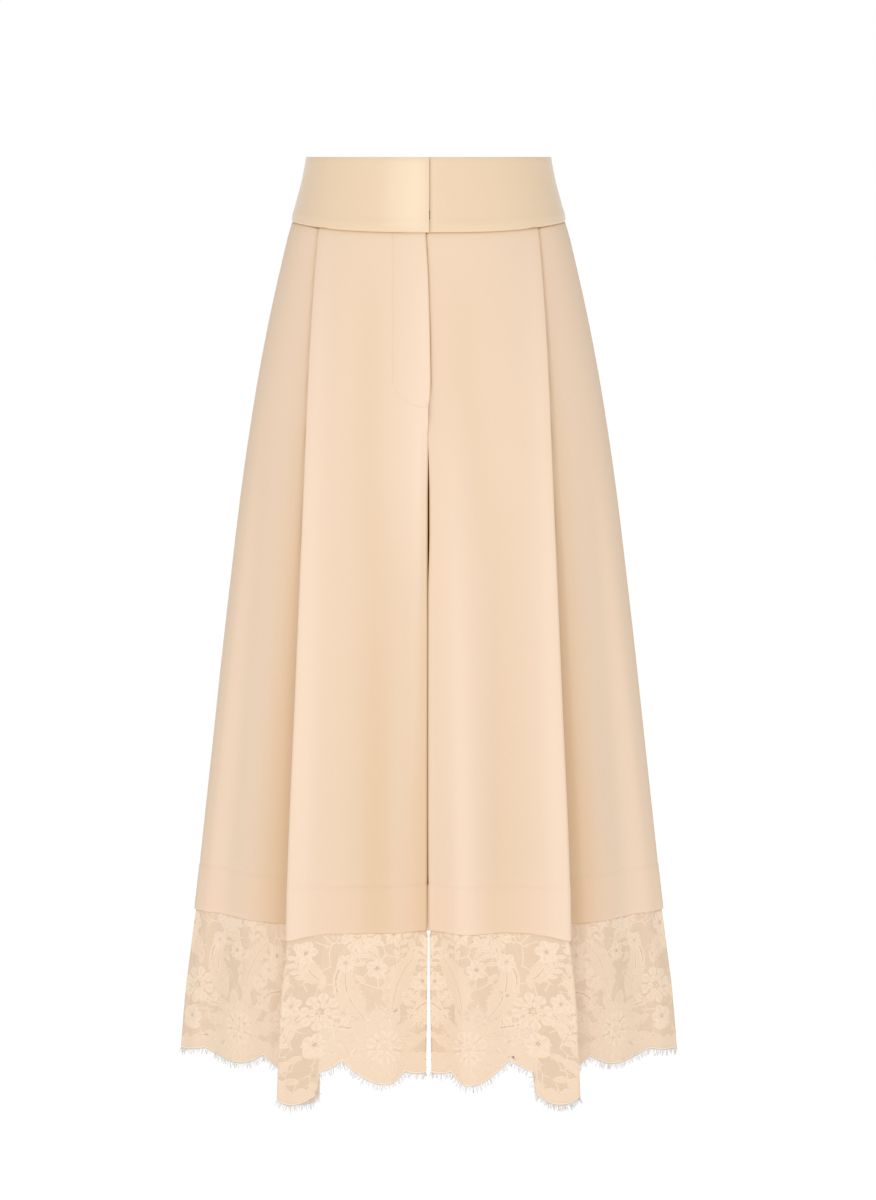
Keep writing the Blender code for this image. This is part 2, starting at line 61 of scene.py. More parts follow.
cut = {
    "hem": 785.0,
    "hemTurning": 50.0,
    "laceStart": 770.0,
    "laceMeasured": 900.0,
    "laceLow": 964.0,
    "laceInset": 1.5,  # the lace's middle surface inside the crepe's
    "seamFront": 75.0,
    "seamBack": 70.0,
    "seamSide": 66.0,
    "seamGap": 0.1,
    "crotchFront": 275.0,
    "crotchBottom": 320.0,
    "crotchBack": 255.0,
    "inseamY": 8.0,
    "bandLap": 0.8,
    "underlap": 9.0,
    "underlapSetback": 1.7,
    "underlapFade": 26.0,
    "flySplitEnd": 230.0,
    "flyJoined": 250.0,
    "extension": 30.0,
    "extensionSetback": 3.2,
    "roundness": 2.3,
    "seamStraight": 3.0,
    "sagStart": 610.0,
    "sagInPleat": 3.0,
    "innerFoldAtHem": -93.5,
    "innerFoldTucked": 3.0,
    "sideTucked": 4.0,
    "gapAtCrotch": 1.0,
    "gapAtHem": 1.6,
    "gapAtEdge": 1.7,
    "foldPoints": 9,
}

# The filled-out garment's plan at each depth
Section = namedtuple("Section", "depth halfWidth front back")
sections = (
    Section(0, 124.6, 92.0, 92.0),
    Section(24, 129.4, 94.5, 95.0),
    Section(48, 135.9, 96.5, 98.0),
    Section(75, 142.6, 98.5, 102.0),
    Section(115, 152.3, 102.0, 110.0),
    Section(150, 160.4, 105.0, 117.0),
    Section(208, 172.3, 109.0, 125.0),
    Section(300, 187.8, 113.0, 129.0),
    Section(458, 208.4, 118.0, 131.0),
    Section(648, 230.2, 122.0, 136.0),
    Section(785, 246.2, 125.0, 140.0),
    Section(870, 257.6, 127.0, 143.0),
    Section(960, 265.8, 129.0, 146.0),
)
# The pleat's outer fold, how far the inner one lies back under it and how round both are
Pleat = namedtuple("Pleat", "depth foldX tuck radius")
pleats = (
    Pleat(66, 109.6, 35.0, 1.2),
    Pleat(110, 113.5, 34.0, 1.3),
    Pleat(200, 119.5, 33.0, 1.5),
    Pleat(320, 124.8, 32.0, 1.8),
    Pleat(543, 134.6, 32.0, 2.5),
    Pleat(735, 142.9, 32.0, 3.0),
    Pleat(785, 144.2, 33.0, 3.2),
    Pleat(850, 150.8, 37.5, 3.4),
    Pleat(960, 156.0, 42.0, 3.6),
)
# How far the right front laps past the centre, or stops short of it if negative
Lap = namedtuple("Lap", "depth reach")
laps = (Lap(75, -3.0), Lap(107, -0.9), Lap(175, 1.3), Lap(235, 2.3))
# The hem's plan by the share of its width, and how far a front's hem sags: centre to fold, inner fold to
# side seam and side seam to back centre
Across = namedtuple("Across", "share y sag", defaults=(0.0,))
frontAtHem = (
    Across(0.0, -124.5),
    Across(0.12, -124.7),
    Across(0.24, -125.2),
    Across(0.42, -126.2),
    Across(0.58, -124.2),
    Across(0.74, -124.6, 0.3),
    Across(0.88, -127.0, 3.0),
    Across(1.0, -130.0, 6.0),
)
sideAtHem = (
    Across(0.16, -87.5),
    Across(0.30, -79.5),
    Across(0.45, -65.5),
    Across(0.60, -49.5),
    Across(0.73, -35.0),
    Across(0.84, -22.5),
    Across(0.92, -14.0),
    Across(0.975, -6.5),
)
backAtHem = (
    Across(0.03, 8.0),
    Across(0.09, 22.0),
    Across(0.19, 45.0),
    Across(0.31, 74.0),
    Across(0.43, 101.0),
    Across(0.54, 123.0),
    Across(0.64, 136.0),
    Across(0.76, 136.5),
    Across(0.88, 141.0),
    Across(1.0, 138.0),
)
# How a leg's section draws in towards its inner side, and how far that side bows away from the other leg
Corner = namedtuple("Corner", "share drop")
corners = (Corner(0.0, 16.0), Corner(0.12, 9.0), Corner(0.24, 0.0))
Inner = namedtuple("Inner", "share bow")
innerSide = (
    Inner(0.12, 0.4),
    Inner(0.30, 2.5),
    Inner(0.55, 5.5),
    Inner(0.80, 7.6),
    Inner(0.97, 8.0),
    Inner(1.0, 8.0),
)
# The scalloped edge's lows and highs, by the run along the trim from the centre; the back's by its repeat
Turn = namedtuple("Turn", "along depth")
frontEdge = (
    Turn(-113.0, 936.0),
    Turn(-84.0, 944.0),
    Turn(-46.0, 923.0),
    Turn(8.0, 936.0),
    Turn(24.0, 932.0),
    Turn(46.0, 944.0),
    Turn(90.5, 918.6),
    Turn(113.5, 929.0),
    Turn(116.5, 954.0),
    Turn(139.0, 963.0),
    Turn(163.9, 952.0),
    Turn(190.0, 963.0),
    Turn(216.0, 948.0),
    Turn(277.0, 924.0),
    Turn(312.0, 938.0),
    Turn(359.0, 930.0),
    Turn(395.0, 935.0),
)
Scallop = namedtuple("Scallop", "share depth")
backEdge = (Scallop(0.17, 922.0), Scallop(0.5, 944.0), Scallop(0.83, 922.0), Scallop(1.0, 934.0))
backRepeat = 130.0


def column(table, name):
    return np.array([getattr(row, name) for row in table], float)


def smoothAt(table, name, depth):
    depths, values = column(table, "depth"), column(table, name)
    slopes = np.gradient(values, depths)
    depth = min(max(depth, depths[0]), depths[-1])
    i = min(int(np.searchsorted(depths, depth, "right")) - 1, len(depths) - 2)
    step = depths[i + 1] - depths[i]
    share = (depth - depths[i]) / step
    return hermite(values[i], slopes[i] * step, values[i + 1], slopes[i + 1] * step, share)


def hermite(a, leaving, b, arriving, t):
    return (
        a * (1 + 2 * t) * (1 - t) ** 2
        + leaving * t * (1 - t) ** 2
        + b * t * t * (3 - 2 * t)
        + arriving * t * t * (t - 1)
    )


def mix(a, b, share):
    return a + (b - a) * share


def shareOf(value, low, high):
    return np.clip((value - low) / (high - low), 0.0, 1.0)


def soft(value, low, high):
    t = shareOf(value, low, high)
    return t * t * (3 - 2 * t)


def hip(x, halfWidth, reach):
    inside = np.maximum(0.0, 1 - (np.maximum(x, 0.0) / halfWidth) ** cut["roundness"])
    return reach * inside ** (1 / cut["roundness"])


def flare(depth):
    return max(0.0, (depth - cut["seamFront"]) / (cut["hem"] - cut["seamFront"]))


def parting(depth, crotch):
    return max(0.0, (depth - crotch) / (cut["hem"] - crotch))


def halfGap(depth, crotch):
    if depth < cut["hem"]:
        return mix(cut["gapAtCrotch"], cut["gapAtHem"], parting(depth, crotch))
    return mix(cut["gapAtHem"], cut["gapAtEdge"], (depth - cut["hem"]) / (cut["laceLow"] - cut["hem"]))


def unit(vector):
    return vector / np.linalg.norm(vector)


def foldRound(before, tip, after, radius, leftTurn):
    heading, leaving = unit(tip - before), unit(after - tip)
    centre = tip - radius * unit(heading - leaving)
    turn = leftTurn * (heading[0] * leaving[1] - heading[1] * leaving[0])
    angle = math.atan2(turn, float(heading @ leaving)) % (2 * math.pi)
    start = math.atan2(-leftTurn * heading[0], leftTurn * heading[1])
    angles = start + leftTurn * angle * np.linspace(0, 1, cut["foldPoints"])
    return list(centre + radius * np.column_stack([np.cos(angles), np.sin(angles)]))


def cornerDrop(share, depth, crotch):
    return parting(depth, crotch) * np.interp(share, column(corners, "share"), column(corners, "drop"))


def frontSection(depth, centreX):
    width, reach = smoothAt(sections, "halfWidth", depth), smoothAt(sections, "front", depth)
    foldX, tuck = smoothAt(pleats, "foldX", depth), smoothAt(pleats, "tuck", depth)
    radius, opened = smoothAt(pleats, "radius", depth), flare(depth)

    def laid(x, tuckedBy, hemY, openBy=min(opened, 1.0)):
        return mix(tuckedBy - hip(x, width, reach), hemY, openBy)

    points = []
    for row in frontAtHem[:-1]:
        x = mix(centreX, foldX, row.share)
        y = laid(x, 0.0, row.y, opened) + cornerDrop(row.share, depth, cut["crotchFront"])
        points.append(np.array((x, y)))
    outer = np.array((foldX, laid(foldX, 0.0, frontAtHem[-1].y, opened)))
    innerX = foldX - tuck
    inner = np.array((innerX, laid(innerX, cut["innerFoldTucked"] * radius, cut["innerFoldAtHem"])))
    side = []
    for row in sideAtHem:
        x = mix(innerX, width, row.share)
        tucked = cut["sideTucked"] * radius * (1 - shareOf(x, foldX, width))
        side.append(np.array((x, laid(x, tucked, row.y))))
    side += [np.array((width, -cut["seamStraight"])), np.array((width, -cut["seamGap"] / 2))]
    points += foldRound(points[-1], outer, inner, radius, 1)
    points.append((outer + inner) / 2)
    points += foldRound(outer, inner, side[0], radius, -1)
    return np.array(points + side)


def backSection(depth):
    width, reach = smoothAt(sections, "halfWidth", depth), smoothAt(sections, "back", depth)
    edge = halfGap(depth, cut["crotchBack"]) if depth >= cut["crotchBack"] else cut["seamGap"] / 2
    opened = min(flare(depth), 1.0)
    points = [(width, cut["seamGap"] / 2), (width, cut["seamStraight"])]
    for row in backAtHem:
        x = mix(width, edge, row.share)
        y = mix(hip(x, width, reach), row.y, opened) - cornerDrop(1 - row.share, depth, cut["crotchBack"])
        points.append((x, y))
    return np.array(points, float)


def centreEdge(depth, lapped):
    if depth >= cut["crotchFront"]:
        return halfGap(depth, cut["crotchFront"])
    reach = smoothAt(laps, "reach", depth) if lapped else cut["underlap"]
    return mix(-reach, cut["seamGap"] / 2, shareOf(depth, cut["flySplitEnd"], cut["flyJoined"]))


def setBack(points, amount):
    moved = np.array(points, float)
    moved[..., 1] += amount * (1 - shareOf(moved[..., 0], 0.0, cut["underlapFade"]))
    return moved


def innerColumn(row, level, crotch, section):
    top = mix(crotch, cut["crotchBottom"], math.sin(row.share * math.pi / 2))
    depth = mix(top, cut["hem"], parting(level, crotch)) if level < cut["hem"] else level
    corner = section(depth)
    towards = 1 if corner[1] < 0 else -1
    y = mix(corner[1], cut["inseamY"] - towards * cut["seamGap"] / 2, row.share)
    return (halfGap(depth, crotch) + row.bow * (depth - top) / (cut["hem"] - top), y, depth)


def seamDepth(x, level, centre):
    out = shareOf(abs(x), 0.0, smoothAt(sections, "halfWidth", level))
    return mix(centre, cut["seamSide"], out**3)


# Stations name the columns of a leg: on a front -1 is the inseam, 0 the centre, 1 the pleat's outer fold,
# 2 its inner fold and 3 the side seam; on a back 0 is the side seam, 1 the centre and 2 the inseam.
roundFold = np.linspace(-0.015, 0.015, cut["foldPoints"])
frontStations = np.concatenate([
    -column(innerSide, "share")[::-1],
    column(frontAtHem[:-1], "share"),
    1 + roundFold,
    [1.5],
    2 + roundFold,
    2 + column(sideAtHem, "share"),
    [2.99, 3.0],
])
backStations = np.concatenate([[0.0, 0.01], column(backAtHem, "share"), 1 + column(innerSide, "share")])
cornerOf = {"front": len(innerSide), "back": len(backStations) - len(innerSide) - 1}
sagAt = np.interp(
    frontStations,
    [*column(frontAtHem, "share"), 1.5, 1.98],
    [*column(frontAtHem, "sag"), cut["sagInPleat"], 0.0],
)


def frontLine(level, lapped=True, seam=False):
    line = np.full((len(frontStations), 3), np.nan)
    first = len(innerSide)
    if level >= cut["crotchFront"]:
        corner = lambda depth: frontSection(depth, halfGap(depth, cut["crotchFront"]))[0]
        line[:first] = [innerColumn(row, level, cut["crotchFront"], corner) for row in reversed(innerSide)]
    plan = frontSection(level, centreEdge(level, lapped))
    depths = level + sagAt[first:] * shareOf(level, cut["sagStart"], cut["hem"])
    if seam:
        depths = seamDepth(plan[:, 0], level, cut["seamFront"]) + cut["seamGap"] / 2
    for place, depth in enumerate(depths):
        if abs(depth - level) > 0.01:
            plan[place] = frontSection(depth, centreEdge(depth, lapped))[place]
    if not lapped:
        above = 1 - shareOf(level, cut["flyJoined"], cut["crotchFront"])
        plan = setBack(plan, cut["underlapSetback"] * above)
    line[first:] = np.column_stack([plan, depths])
    return line


def backLine(level, seam=False):
    line = np.full((len(backStations), 3), np.nan)
    last = len(backStations) - len(innerSide)
    plan, depths = backSection(level), np.full(last, float(level))
    if seam:
        depths = seamDepth(plan[:, 0], level, cut["seamBack"]) + cut["seamGap"] / 2
        plan = np.array([backSection(depth)[place] for place, depth in enumerate(depths)])
    line[:last] = np.column_stack([plan, depths])
    if level >= cut["crotchBack"]:
        corner = lambda depth: backSection(depth)[-1]
        line[last:] = [innerColumn(row, level, cut["crotchBack"], corner) for row in innerSide]
    return line


def curveThrough(points, counts):
    steps = np.linalg.norm(np.diff(points, axis=0), axis=1)
    slopes = np.diff(points, axis=0) / steps[:, None]
    weighed = slopes[:-1] * steps[1:, None] + slopes[1:] * steps[:-1, None]
    middle = weighed / (steps[:-1] + steps[1:])[:, None]
    tangents = np.vstack([slopes[:1], middle, slopes[-1:]])
    parts = []
    for i, count in enumerate(counts):
        t = (np.arange(count) / count)[:, None]
        parts.append(hermite(points[i], tangents[i] * steps[i], points[i + 1], tangents[i + 1] * steps[i], t))
    return np.vstack([*parts, points[-1:]])


def fineLine(line, counts, corner=None):
    # a smooth curve, or two that meet at the corner
    first, last = np.flatnonzero(~np.isnan(line[:, 0]))[[0, -1]]
    fine = np.full((sum(counts) + 1, 3), np.nan)
    stops = [first, corner, last] if corner and first < corner < last else [first, last]
    for a, b in zip(stops, stops[1:]):
        fine[sum(counts[:a]) : sum(counts[:b]) + 1] = curveThrough(line[a : b + 1], counts[a:b])
    return fine


def columnCounts(line, step):
    lengths = np.linalg.norm(np.diff(line, axis=0), axis=1)
    return [max(1, math.ceil(length / step)) for length in lengths]


def fineStations(stations, counts):
    parts = [mix(a, b, np.arange(n) / n) for a, b, n in zip(stations, stations[1:], counts)]
    return np.concatenate([*parts, stations[-1:]])


def outwards(places):
    # from the steps to both neighbours, or to the only one
    steps = np.diff(places[..., :2], axis=-2)
    end = np.full(steps[..., :1, :].shape, np.nan)
    before, after = np.concatenate([end, steps], axis=-2), np.concatenate([steps, end], axis=-2)
    headings = np.where(np.isnan(before), after, np.where(np.isnan(after), before, before + after))
    headings /= np.maximum(np.linalg.norm(headings, axis=-1), 1e-9)[..., None]
    return np.stack([headings[..., 1], -headings[..., 0]], axis=-1)


def moveOut(places, amount):
    moved = places.copy()
    moved[..., :2] += outwards(places) * np.broadcast_to(amount, places.shape[:-1])[..., None]
    return moved


# Soft ridges and troughs. At is the station halfway down, lean is how far it wanders, and rise is negative
# in a trough. Above 0 the tone paints a highlight on the cloth. Below 0 it paints shade, down to the shade
# deep in a pleat at -1 and on towards the shadow in a seam past that.
Crease = namedtuple("Crease", "at lean top bottom width rise tone", defaults=(0.0,))
creaseFade = 0.8  # below 1 a crease keeps its depth longer towards its ends
creases = {
    "frontRight": (
        Crease(0.84, 0.03, 200, 1120, 0.09, 2.0),
        Crease(0.94, 0.0, 60, 1180, 0.11, 0.0, 0.7),
        Crease(0.42, 0.0, 300, 1180, 0.30, 0.0, -0.17),
        Crease(0.36, -0.12, 300, 1120, 0.15, -6.0, -0.6),
        Crease(0.03, 0.0, 330, 1180, 0.09, 0.0, -0.75),
        Crease(0.07, 0.02, 250, 640, 0.06, 1.8, 0.3),
        Crease(0.54, 0.12, 520, 1060, 0.05, -1.2),
        Crease(0.02, 0.02, 30, 430, 0.20, 1.6, 0.7),
        Crease(0.50, -0.05, 90, 420, 0.12, -1.2, -0.3),
        Crease(2.22, 0.04, 200, 1120, 0.12, -6.0),
        Crease(2.30, 0.04, 150, 1180, 0.19, 0.0, -1.0),
        Crease(2.55, 0.08, 280, 1120, 0.12, 3.5),
        Crease(2.75, 0.0, 350, 1250, 0.20, 0.0, 0.45),
        Crease(2.78, -0.04, 250, 1120, 0.08, -2.2),
        Crease(2.90, 0.02, 300, 1100, 0.05, 1.6),
    ),
    "frontLeft": (
        Crease(0.22, 0.05, 230, 1120, 0.13, 4.6, 0.6),
        Crease(0.54, -0.06, 300, 1120, 0.14, -6.2, -0.35),
        Crease(0.85, 0.02, 190, 1120, 0.09, 1.8),
        Crease(0.94, 0.0, 60, 1180, 0.11, 0.0, 0.7),
        Crease(0.70, 0.10, 600, 1060, 0.05, -0.9),
        Crease(0.36, 0.05, 90, 420, 0.15, -1.2, -0.2),
        Crease(2.22, 0.04, 220, 1120, 0.12, -5.6),
        Crease(2.30, 0.02, 150, 1180, 0.18, 0.0, -1.0),
        Crease(2.52, 0.06, 300, 1120, 0.11, 3.2),
        Crease(2.75, 0.0, 300, 1250, 0.20, 0.0, 0.5),
        Crease(2.74, -0.05, 220, 1120, 0.09, -2.2),
        Crease(2.88, 0.02, 320, 1080, 0.05, 1.5),
    ),
    "backRight": (
        Crease(0.28, 0.05, 260, 1120, 0.07, -4.0, -0.4),
        Crease(0.46, -0.05, 200, 1120, 0.09, 4.2, 0.5),
        Crease(0.63, 0.03, 330, 1120, 0.07, -4.6, -0.4),
        Crease(0.80, -0.03, 280, 1120, 0.08, 3.6, 0.5),
        Crease(0.93, 0.01, 300, 760, 0.04, -1.6, -0.2),
    ),
    "backLeft": (
        Crease(0.24, 0.03, 300, 1120, 0.07, -3.6, -0.4),
        Crease(0.41, -0.04, 230, 1120, 0.09, 4.4, 0.5),
        Crease(0.59, 0.05, 300, 1120, 0.08, -4.8, -0.4),
        Crease(0.78, -0.02, 330, 1120, 0.07, 3.2, 0.4),
        Crease(0.92, 0.01, 280, 700, 0.04, -1.5, -0.2),
    ),
}


def creaseSum(rows, stations, depths, name):
    total = np.zeros(depths.shape)
    for row in rows:
        t = shareOf(depths, row.top, row.bottom)
        middle = row.at + row.lean * (t - 0.5)
        near = np.exp(-(((stations - middle) / row.width) ** 2))
        total += getattr(row, name) * np.sin(np.pi * t) ** creaseFade * near
    return np.nan_to_num(total)


def linked(name, data):
    obj = bpy.data.objects.new(name, data)
    bpy.context.scene.collection.objects.link(obj)
    return obj


def meshFrom(name, places, faces, uv=None):
    mesh = bpy.data.meshes.new(name)
    mesh.from_pydata((places * (mm, mm, -mm)).tolist(), [], faces)
    if uv is not None:
        layer = mesh.uv_layers.new(name="cloth")
        corner = np.empty(len(mesh.loops), int)
        mesh.loops.foreach_get("vertex_index", corner)
        layer.data.foreach_set("uv", uv[corner].ravel())
    mesh.shade_smooth()
    return linked(name, mesh)


def edgesObject(name, places, edges):
    # edges in metres, for a tree to grow along
    mesh = bpy.data.meshes.new(name)
    mesh.from_pydata(places.tolist(), edges, [])
    return linked(name, mesh)


def chain(count, first=0):
    return [(first + i, first + i + 1) for i in range(count - 1)]


def clothPiece(name, places, side, uv, wall, finish, tone=None):
    # a grid of (rows, columns) places becomes a thin shell; corners without a place are left out
    rows, columns = places.shape[:2]
    laid = places.reshape(-1, 3) * (side, 1, 1)
    number = np.arange(rows * columns).reshape(rows, columns)
    corners = (number[:-1, :-1], number[:-1, 1:], number[1:, 1:], number[1:, :-1])
    quads = np.stack(corners, axis=-1).reshape(-1, 4)
    quads = quads[~np.isnan(laid[quads, 0]).any(axis=1)]
    if side > 0:
        quads = quads[:, ::-1]
    used = np.unique(quads)
    place = np.zeros(rows * columns, int)
    place[used] = np.arange(len(used))
    obj = meshFrom(name, laid[used], place[quads].tolist(), uv.reshape(-1, 2)[used])
    if tone is not None:
        obj.data.attributes.new("tone", "FLOAT", "POINT").data.foreach_set("value", tone.ravel()[used])
    shell = obj.modifiers.new("wall", "SOLIDIFY")
    shell.thickness = wall * mm
    shell.offset = 0.0
    obj.data.materials.append(finish)
    return obj


def clothUv(places, level):
    # across is measured along the row nearest the level, down is the depth
    row = places[int(np.nanargmin(np.abs(np.nanmean(places[..., 2], axis=1) - level)))]
    steps = np.nan_to_num(np.linalg.norm(np.diff(row, axis=0), axis=1))
    across = np.concatenate([[0.0], np.cumsum(steps)])
    return np.stack(np.broadcast_arrays(across[None, :], places[..., 2]), axis=-1)


# Finishes: a wire is a shader socket that can stand in a sum
class Wire:
    def __init__(self, tree, socket):
        self.tree, self.socket = tree, socket

    def math(self, operation, a, b=0.0):
        return nodeOf(self.tree, "ShaderNodeMath", {"operation": operation}, {0: a, 1: b})

    def __add__(self, other):
        return self.math("ADD", self, other)

    def __radd__(self, other):
        return self.math("ADD", other, self)

    def __sub__(self, other):
        return self.math("SUBTRACT", self, other)

    def __rsub__(self, other):
        return self.math("SUBTRACT", other, self)

    def __mul__(self, other):
        return self.math("MULTIPLY", self, other)

    def __rmul__(self, other):
        return self.math("MULTIPLY", other, self)

    def fraction(self):
        return self.math("FRACT", self)

    def size(self):
        return self.math("ABSOLUTE", self)

    def above(self, limit):
        return self.math("GREATER_THAN", self, limit)

    def larger(self, other):
        return self.math("MAXIMUM", self, other)


def nodeOf(tree, kind, settings, inputs, output=0):
    made = tree.nodes.new(kind)
    for name, value in settings.items():
        setattr(made, name, value)
    for name, value in inputs.items():
        if isinstance(value, Wire):
            tree.links.new(value.socket, made.inputs[name])
        else:
            made.inputs[name].default_value = value
    return Wire(tree, made.outputs[output])


class Finish:
    def __init__(self, name, **constants):
        self.material = bpy.data.materials.new(name)
        self.material.use_nodes = True
        self.tree = self.material.node_tree
        self.shader = self.tree.nodes["Principled BSDF"]
        for socket, value in constants.items():
            self.shader.inputs[socket.replace("_", " ")].default_value = value

    def node(self, kind, settings=None, inputs=None, output=0):
        return nodeOf(self.tree, kind, settings or {}, inputs or {}, output)

    def set(self, socket, wire):
        self.tree.links.new(wire.socket, self.shader.inputs[socket])

    def clothPlace(self):
        return self.node("ShaderNodeUVMap", {"uv_map": "cloth"})

    def objectPlace(self):
        return self.node("ShaderNodeTexCoord", output=3)

    def stretched(self, place, scale):
        return self.node("ShaderNodeMapping", {}, {"Vector": place, "Scale": scale})

    def noise(self, place, scale, detail=2.0):
        return self.node("ShaderNodeTexNoise", {}, {"Vector": place, "Scale": scale, "Detail": detail})

    def cellBorder(self, place, cell):
        # how far the nearest border of uneven cells is, in cells
        settings = {"voronoi_dimensions": "2D", "feature": "DISTANCE_TO_EDGE"}
        return self.node("ShaderNodeTexVoronoi", settings, {"Vector": place, "Scale": 1.0 / cell})

    def blend(self, factor, a, b):
        ends = [end if isinstance(end, Wire) else (*end, 1) for end in (a, b)]
        return self.node("ShaderNodeMix", {"data_type": "RGBA"}, {0: factor, 6: ends[0], 7: ends[1]}, 2)

    def tone(self):
        return self.node("ShaderNodeAttribute", {"attribute_name": "tone"}, output=2)

    def bump(self, height, distance):
        depth = {"Height": height, "Distance": distance * mm, "Strength": 1.0}
        self.set("Normal", self.node("ShaderNodeBump", {}, depth))


crepeLook = {
    "light": (0.850, 0.655, 0.488),
    "dark": (0.800, 0.610, 0.446),
    "doubled": (0.865, 0.640, 0.470),  # where the turned hem lies behind
    # painted highlight along ridges and the pleats' folds, where the tone is above 0
    "paintedHighlight": (0.900, 0.712, 0.545),
    # painted shade in troughs and deep in the pleats, where the tone falls to -1
    "deep": (0.758, 0.545, 0.352),
    # painted shadow in the waist seam, between the legs and by the lap, where the tone is below -1
    "seam": (0.46, 0.24, 0.095),
    "thread": 0.62,
    "along": 0.16,  # the pattern's scale along a thread, where it is 1 across it
    "threadShare": 0.38,
    "cloud": 14.0,
    "cloudShare": 0.24,
    "doubledShare": 0.5,
    "bump": 0.05,
}


def crepeFinish():
    # two sets of fine uneven threads, crossing
    finish = Finish("crepe", Roughness=0.88, Sheen_Weight=0.12, Sheen_Roughness=0.5, Specular_IOR_Level=0.25)
    place = finish.clothPlace()
    along, share = crepeLook["along"], crepeLook["threadShare"]
    warp = finish.noise(finish.stretched(place, (1.0, along, 1.0)), crepeLook["thread"], 3.0)
    weft = finish.noise(finish.stretched(place, (along, 1.0, 1.0)), crepeLook["thread"], 3.0)
    cloud = finish.noise(finish.objectPlace(), crepeLook["cloud"])
    tone = warp * share + weft * share + cloud * crepeLook["cloudShare"]
    down = finish.node("ShaderNodeSeparateXYZ", {}, {0: place}, 1)
    cloth = finish.blend(tone, crepeLook["dark"], crepeLook["light"])
    hem = down.above(cut["hem"] - cut["hemTurning"]) * crepeLook["doubledShare"]
    # the tone attribute: painted highlight above 0, painted shade below 0 and painted shadow below -1
    fold = finish.tone()
    cloth = finish.blend(hem, cloth, crepeLook["doubled"])
    paintedHighlight = finish.blend(fold.larger(0.0), cloth, crepeLook["paintedHighlight"])
    deep = finish.blend((0.0 - fold).larger(0.0), paintedHighlight, crepeLook["deep"])
    finish.set("Base Color", finish.blend((-1.0 - fold).larger(0.0), deep, crepeLook["seam"]))
    finish.bump(warp + weft, crepeLook["bump"])
    return finish.material


satinLook = {
    "light": (0.808, 0.626, 0.436),
    "dark": (0.773, 0.588, 0.400),
    # painted sheen where the band's creases give a tone, beside the real highlight of the strip lamp
    "sheen": (0.865, 0.680, 0.490),
    "thread": 0.9,
    "stretch": (0.1, 1.6, 1.0),
    "threadShare": 0.6,
    "cloud": 22.0,
    "cloudShare": 0.4,
    "roughness": 0.27,
    "roughnessRange": 0.12,
    "bump": 0.02,
}


def satinFinish():
    finish = Finish("satin", Sheen_Weight=0.1, Specular_IOR_Level=0.38)
    place = finish.clothPlace()
    thread = finish.noise(finish.stretched(place, satinLook["stretch"]), satinLook["thread"], 3.0)
    cloud = finish.noise(finish.objectPlace(), satinLook["cloud"])
    paintedSheen = finish.tone()
    uneven = thread * satinLook["threadShare"] + cloud * satinLook["cloudShare"]
    cloth = finish.blend(uneven, satinLook["dark"], satinLook["light"])
    finish.set("Base Color", finish.blend(paintedSheen, cloth, satinLook["sheen"]))
    finish.set("Roughness", satinLook["roughness"] + satinLook["roughnessRange"] * thread)
    finish.bump(thread, satinLook["bump"])
    return finish.material


netLook = {
    "mesh": 1.5,
    "slant": 0.75,
    "thread": 0.62,
    "uneven": 0.4,
    "light": (0.885, 0.685, 0.503),
    "dark": (0.835, 0.638, 0.458),
    "lit": (0.940, 0.760, 0.585),
    "bar": (0.950, 0.780, 0.610),
    "barWidth": 0.8,
    "barCell": 15.0,  # the bars lie on the borders of uneven cells
    "barPatch": 0.07,  # and only in some patches of the net
}


def netFinish():
    # a diamond net of fine threads, with some bars across it; the holes show what lies behind
    finish = Finish("lace net", Roughness=0.85, Sheen_Weight=0.1, Specular_IOR_Level=0.2)
    across = finish.node("ShaderNodeSeparateXYZ", {}, {0: finish.clothPlace()})
    down = Wire(finish.tree, across.socket.node.outputs[1])
    slanted = down * netLook["slant"]
    left = ((across + slanted) * (1 / netLook["mesh"])).fraction() - 0.5
    right = ((across - slanted) * (1 / netLook["mesh"])).fraction() - 0.5
    thread = left.size().larger(right.size()).above(0.5 - netLook["thread"] / 2)
    border = finish.cellBorder(finish.clothPlace(), netLook["barCell"])
    bar = 1.0 - border.above(0.5 * netLook["barWidth"] / netLook["barCell"])
    bar = bar * finish.noise(finish.clothPlace(), netLook["barPatch"], 0.0).above(0.5)
    finish.set("Alpha", thread.larger(bar))
    uneven = finish.noise(finish.clothPlace(), netLook["uneven"])
    cloth = finish.blend(uneven, netLook["dark"], netLook["light"])
    lit = finish.blend(finish.tone(), cloth, netLook["lit"])
    finish.set("Base Color", finish.blend(bar, lit, netLook["bar"]))
    return finish.material


threadLook = {
    # painted highlight on the raised rims and cords
    "rim": (0.935, 0.765, 0.600),
    "light": (0.880, 0.690, 0.515),
    "dark": (0.845, 0.650, 0.475),
    # painted shade in slits and eyelets; the undersides take a little of it
    "slitShade": (0.66, 0.47, 0.32),
    "row": 1.1,
    "stretch": (0.25, 1.7, 1.0),
    "bump": 0.08,
}


def motifFinish():
    finish = Finish("lace thread", Roughness=0.75, Sheen_Weight=0.15, Specular_IOR_Level=0.3)
    place = finish.clothPlace()
    rows = finish.noise(finish.stretched(place, threadLook["stretch"]), threadLook["row"])
    tone = finish.tone()
    cloth = finish.blend(rows, threadLook["dark"], threadLook["light"])
    rimHighlighted = finish.blend(tone.larger(0.0), cloth, threadLook["rim"])
    finish.set("Base Color", finish.blend((0.0 - tone).larger(0.0), rimHighlighted, threadLook["slitShade"]))
    finish.bump(rows, threadLook["bump"])
    return finish.material


def plainFinish(name, dark, light, roughness, scale=600.0, **constants):
    finish = Finish(name, **constants)
    grain = finish.noise(finish.objectPlace(), scale)
    finish.set("Base Color", finish.blend(grain, dark, light))
    finish.set("Roughness", roughness + 0.1 * grain)
    return finish.material


